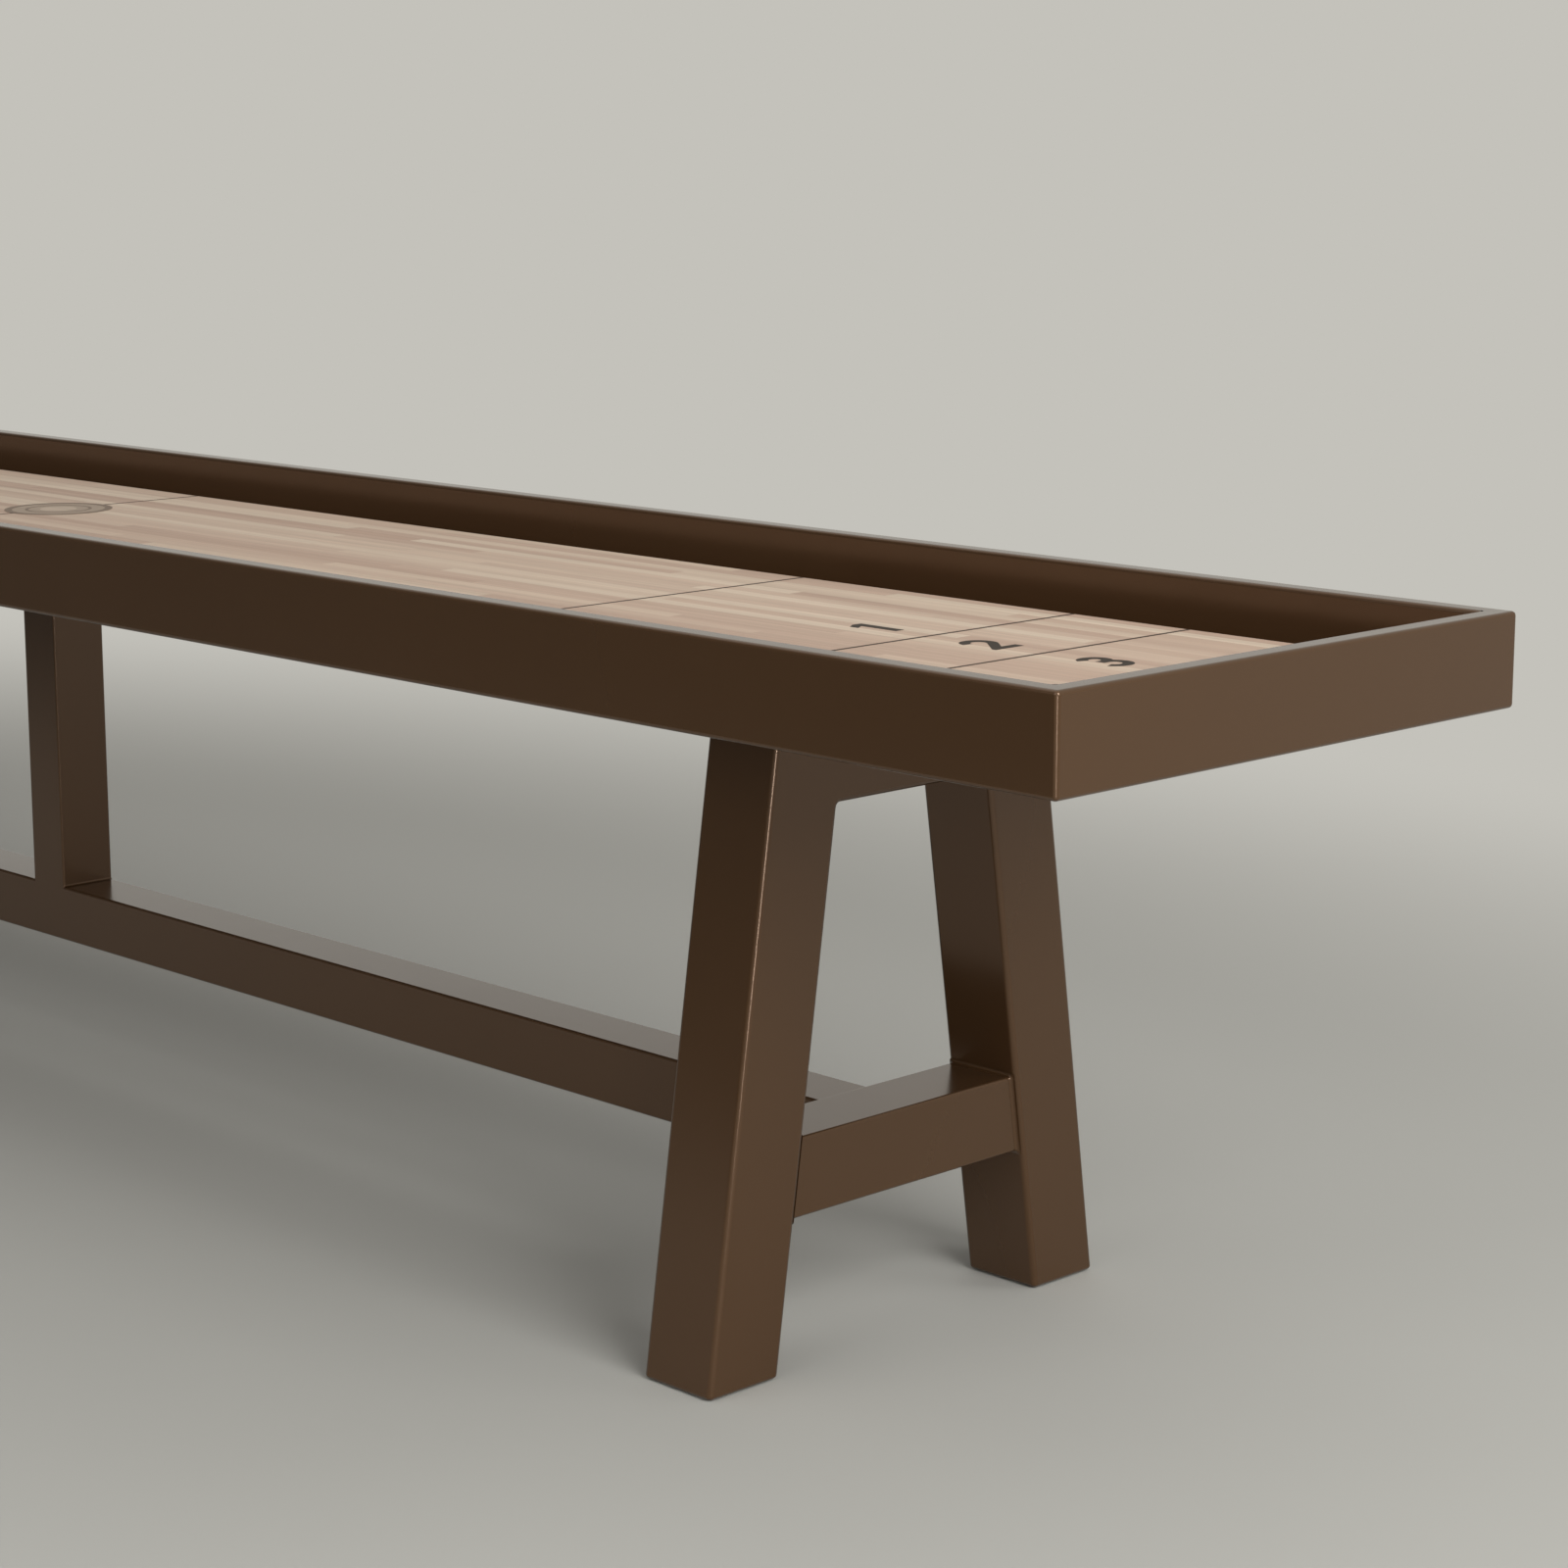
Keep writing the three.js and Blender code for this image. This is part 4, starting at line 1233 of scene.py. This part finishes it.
class SHUFFLEBOARD_OT_fasteners(bpy.types.Operator):
    """Build the hexagon bolts and the stretcher screws, and finish the spigots and the foot plates"""

    bl_idname = "shuffleboard.fasteners"
    bl_label = "Bolts And Screws"

    def execute(self, context):
        sizes = context.scene.shuffleboard_fasteners
        bolts = [f"{side}_plate_bolt_{number}" for side in SIDES for number in range(1, BOLTS_A_PLATE + 1)]
        bolts += [f"{side}_post_bolt" for side in SIDES]
        for node in bolts:
            finish_piece(node + "_hex", self.hexagon_bolt(node, sizes), "zinc_plate", (node,))
        for side in SIDES:
            node = f"{side}_stretcher_screw"
            finish_piece(f"{side}_button_screw", self.button_screw(node, sizes), "zinc_plate", (node,))
            dress_node(f"{side}_stretcher_spigot", "bronze_coat")
            for depth in DEPTHS:
                dress_node(f"{side}_{depth}_foot_plate", "zinc_plate")
        return {"FINISHED"}

    def hexagon_bolt(self, node, sizes):
        """A bolt, head down, with a washer under its plate."""
        low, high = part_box(node)
        centre = (low + high) / 2
        radius = (high.x - low.x) / 2
        head_share = 0.94
        shank_easing = 0.5 * MM
        washer_easing = 0.2 * MM
        washer = MOUNTING_PLATE_BOTTOM - sizes.washer_thickness
        seat = MOUNTING_PLATE_BOTTOM - sizes.washer_seat
        bm = bmesh.new()
        add_prism(bm, centre, radius * head_share, HEXAGON, low.z, washer, shank_easing)
        add_prism(bm, centre, radius, WASHER_SIDES, washer, seat, washer_easing)
        add_prism(bm, centre, sizes.shank_radius, SHANK_SIDES, washer, high.z, shank_easing)
        return bm

    def button_screw(self, node, sizes):
        """A domed screw, head down, with a hexagon socket."""
        low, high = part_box(node)
        centre = (low + high) / 2
        head = (high.x - low.x) / 2
        flat = head * 0.62
        shank = sizes.shank_radius
        easing = 0.5 * MM
        seat = low.z + sizes.head_height
        brim = low.z + sizes.dome_height
        profile = [(0.0, high.z), (shank - easing, high.z), (shank, high.z - easing)]
        profile += [(shank, seat), (head, seat)]
        dome_steps = 5
        for step in range(dome_steps + 1):
            angle = RIGHT_ANGLE * step / dome_steps
            radius = flat + (head - flat) * math.cos(angle)
            profile.append((radius, brim - sizes.dome_height * math.sin(angle)))
        bm = turned(profile, centre, SCREW_STEPS)
        rim = [edge for edge in bm.edges if edge.is_boundary]
        bottom = Vector((centre.x, centre.y, low.z))
        hexagon = add_hoop(bm, bottom, sizes.socket_radius, HEXAGON)
        bmesh.ops.triangle_fill(bm, edges=rim + hexagon, use_beauty=True, normal=(0, 0, -1))
        bmesh.ops.contextual_create(bm, geom=raise_hoop(bm, hexagon, bottom, 1, sizes.socket_depth))
        return bm


class SHUFFLEBOARD_OT_levelling_feet(bpy.types.Operator):
    """Build the rubber pads and the threaded stems of the four levelling feet"""

    bl_idname = "shuffleboard.levelling_feet"
    bl_label = "Levelling Feet"

    def execute(self, context):
        sizes = context.scene.shuffleboard_feet
        for side in SIDES:
            for depth in DEPTHS:
                foot = f"{side}_{depth}_foot"
                finish_piece(f"{foot}_cushion", self.pad(foot), "pad_rubber", (f"{foot}_pad",), foot)
                finish_piece(f"{foot}_screw", self.stem(foot, sizes), "zinc_plate", (f"{foot}_stem",), foot)
        return {"FINISHED"}

    def pad(self, foot):
        """A pad with a grip rim round its hollow sole and a low shoulder."""
        low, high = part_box(f"{foot}_pad")
        radius = (high.x - low.x) / 2
        hollow = PAD_SOLE[0][1]
        profile = [(0.0, low.z + hollow)]
        profile += [(radius - inset, low.z + rise) for inset, rise in PAD_SOLE]
        profile += [(radius - inset, high.z - drop) for inset, drop in PAD_SHOULDER]
        profile.append((0.0, high.z))
        return turned(profile, (low + high) / 2, PAD_STEPS)

    def stem(self, foot, sizes):
        """A hexagon collar with a threaded stem on it."""
        pad_low, pad_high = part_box(f"{foot}_pad")
        centre = (pad_low + pad_high) / 2
        low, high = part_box(f"{foot}_stem")
        overlap = 1 * MM
        collar_easing = 0.6 * MM
        end_easing = 0.5 * MM
        pitch = sizes.thread_pitch
        crest = sizes.thread_radius
        root = crest - sizes.thread_depth
        collar_top = low.z + sizes.collar_height
        bm = bmesh.new()
        add_prism(bm, centre, (high.x - low.x) / 2, HEXAGON, low.z, collar_top, collar_easing)
        height = collar_top + overlap
        profile = [(0.0, collar_top - overlap), (root, collar_top - overlap), (root, height)]
        crest_start = pitch * 0.45
        crest_end = pitch * 0.55
        while height + pitch < high.z - overlap:
            profile += [(crest, height + crest_start), (crest, height + crest_end)]
            height += pitch
            profile.append((root, height))
        profile += [(root, high.z - end_easing), (root - end_easing, high.z), (0.0, high.z)]
        add_turned(bm, profile, centre, SCREW_STEPS)
        return bm


class SHUFFLEBOARD_OT_stage(bpy.types.Operator):
    """Build the floor, the lights, the world and the camera"""

    bl_idname = "shuffleboard.stage"
    bl_label = "Stage"

    def execute(self, context):
        settings = context.scene.shuffleboard_stage
        context.scene.view_settings.view_transform = "Standard"
        self.build_floor(settings)
        self.build_world(settings)
        for name, lamp in LAMPS.items():
            self.add_lamp(name, *lamp, getattr(settings, f"{name}_power"))
        self.add_camera(settings.focal_length)
        return {"FINISHED"}

    def build_floor(self, settings):
        """A wide flat floor."""
        half_width = 60.0
        bm = bmesh.new()
        bmesh.ops.create_grid(bm, x_segments=1, y_segments=1, size=half_width)
        mesh = bpy.data.meshes.new("floor")
        bm.to_mesh(mesh)
        bm.free()
        grey = make_floor("floor_grey", settings.floor, settings.backdrop, settings.front_glow)
        mesh.materials.append(grey)
        floor = bpy.data.objects.new("floor", mesh)
        bpy.context.scene.collection.objects.link(floor)

    def build_world(self, settings):
        """Even light, and a plain backdrop for camera, gloss and glass.

        Gloss and glass see it dimmer at the front left.
        """
        world = bpy.data.worlds.new("studio")
        bpy.context.scene.world = world
        world.use_nodes = True
        tree = world.node_tree
        tree.nodes.clear()
        light = add_node(tree, "ShaderNodeBackground")
        light.inputs["Color"].default_value = AMBIENT_TINT
        light.inputs["Strength"].default_value = settings.ambient
        bright_side = add_node(tree, "ShaderNodeVectorMath", operation="DOT_PRODUCT")
        feed(tree, bright_side.inputs[0], add_node(tree, "ShaderNodeTexCoord").outputs["Generated"])
        bright_side.inputs[1].default_value = BRIGHT_WAY
        glow = ramped(tree, bright_side.outputs["Value"], low=-0.8, high=-0.3, start=settings.front_glow)
        rays = add_node(tree, "ShaderNodeLightPath").outputs
        seen = add_node(tree, "ShaderNodeBackground")
        seen.inputs["Color"].default_value = settings.backdrop
        feed(tree, seen.inputs["Strength"], greatest(tree, rays["Is Camera Ray"], glow))
        shown = greatest(tree, rays["Is Camera Ray"], rays["Is Glossy Ray"], rays["Is Transmission Ray"])
        end = add_node(tree, "ShaderNodeOutputWorld")
        feed(tree, end.inputs["Surface"], mixed(tree, shown, light.outputs[0], seen.outputs[0]))

    def add_lamp(self, name, place, target, size, beam, power):
        """A soft lamp that looks at a point, unseen by the camera."""
        data = bpy.data.lights.new(f"{name}_light", "AREA")
        data.shape = "RECTANGLE"
        data.size, data.size_y = size
        data.energy = power
        data.spread = math.radians(beam)
        lamp = bpy.data.objects.new(f"{name}_light", data)
        lamp.visible_camera = False
        lamp.visible_glossy = name not in UNMIRRORED_LAMPS
        lamp.location = place
        lamp.rotation_euler = (Vector(target) - Vector(place)).to_track_quat("-Z", "Y").to_euler()
        bpy.context.scene.collection.objects.link(lamp)

    def add_camera(self, focal_length):
        """The camera of the scene, a little above the rails."""
        data = bpy.data.cameras.new("camera")
        data.lens = focal_length
        data.sensor_width = CAMERA_SENSOR
        data.clip_end = 100.0
        camera = bpy.data.objects.new("camera", data)
        camera.location = CAMERA_PLACE
        camera.rotation_euler = (math.radians(CAMERA_TILT), 0.0, math.radians(CAMERA_TURN))
        bpy.context.scene.collection.objects.link(camera)
        bpy.context.scene.camera = camera


class SHUFFLEBOARD_PT_panel(bpy.types.Panel):
    """Lists the settings and the steps of the table"""

    bl_label = "Shuffleboard Table"
    bl_idname = "SHUFFLEBOARD_PT_panel"
    bl_space_type = "VIEW_3D"
    bl_region_type = "UI"
    bl_category = "Shuffleboard"

    def draw(self, context):
        layout = self.layout
        for label, group in SETTINGS.items():
            box = layout.box()
            settings = getattr(context.scene, label)
            box.label(text=group.__doc__)
            for name in group.__annotations__:
                box.prop(settings, name)
        for step in STEPS:
            layout.operator(step.bl_idname)


SETTINGS = {
    "shuffleboard_rails": RailSizes,
    "shuffleboard_trestles": TrestleSizes,
    "shuffleboard_bars": BarSizes,
    "shuffleboard_fasteners": FastenerSizes,
    "shuffleboard_feet": FootSizes,
    "shuffleboard_playfield": PlayfieldSizes,
    "shuffleboard_colours": FinishColours,
    "shuffleboard_stage": StageSettings,
}

STEPS = (
    SHUFFLEBOARD_OT_finishes,
    SHUFFLEBOARD_OT_tray_frame,
    SHUFFLEBOARD_OT_tray_floor,
    SHUFFLEBOARD_OT_playfield,
    SHUFFLEBOARD_OT_markings,
    SHUFFLEBOARD_OT_trestles,
    SHUFFLEBOARD_OT_lower_frame,
    SHUFFLEBOARD_OT_plates,
    SHUFFLEBOARD_OT_fasteners,
    SHUFFLEBOARD_OT_levelling_feet,
    SHUFFLEBOARD_OT_stage,
)


def register():
    """Registers the settings, the operators and the panel."""
    for label, group in SETTINGS.items():
        bpy.utils.register_class(group)
        setattr(bpy.types.Scene, label, bpy.props.PointerProperty(type=group))
    for step in STEPS:
        bpy.utils.register_class(step)
    bpy.utils.register_class(SHUFFLEBOARD_PT_panel)


def unregister():
    """Takes everything out again."""
    bpy.utils.unregister_class(SHUFFLEBOARD_PT_panel)
    for step in reversed(STEPS):
        bpy.utils.unregister_class(step)
    for label, group in SETTINGS.items():
        delattr(bpy.types.Scene, label)
        bpy.utils.unregister_class(group)


def main():
    """Builds the whole table."""
    register()
    for step in STEPS:
        family, name = step.bl_idname.split(".")
        getattr(getattr(bpy.ops, family), name)()


if __name__ == "__main__":
    main()
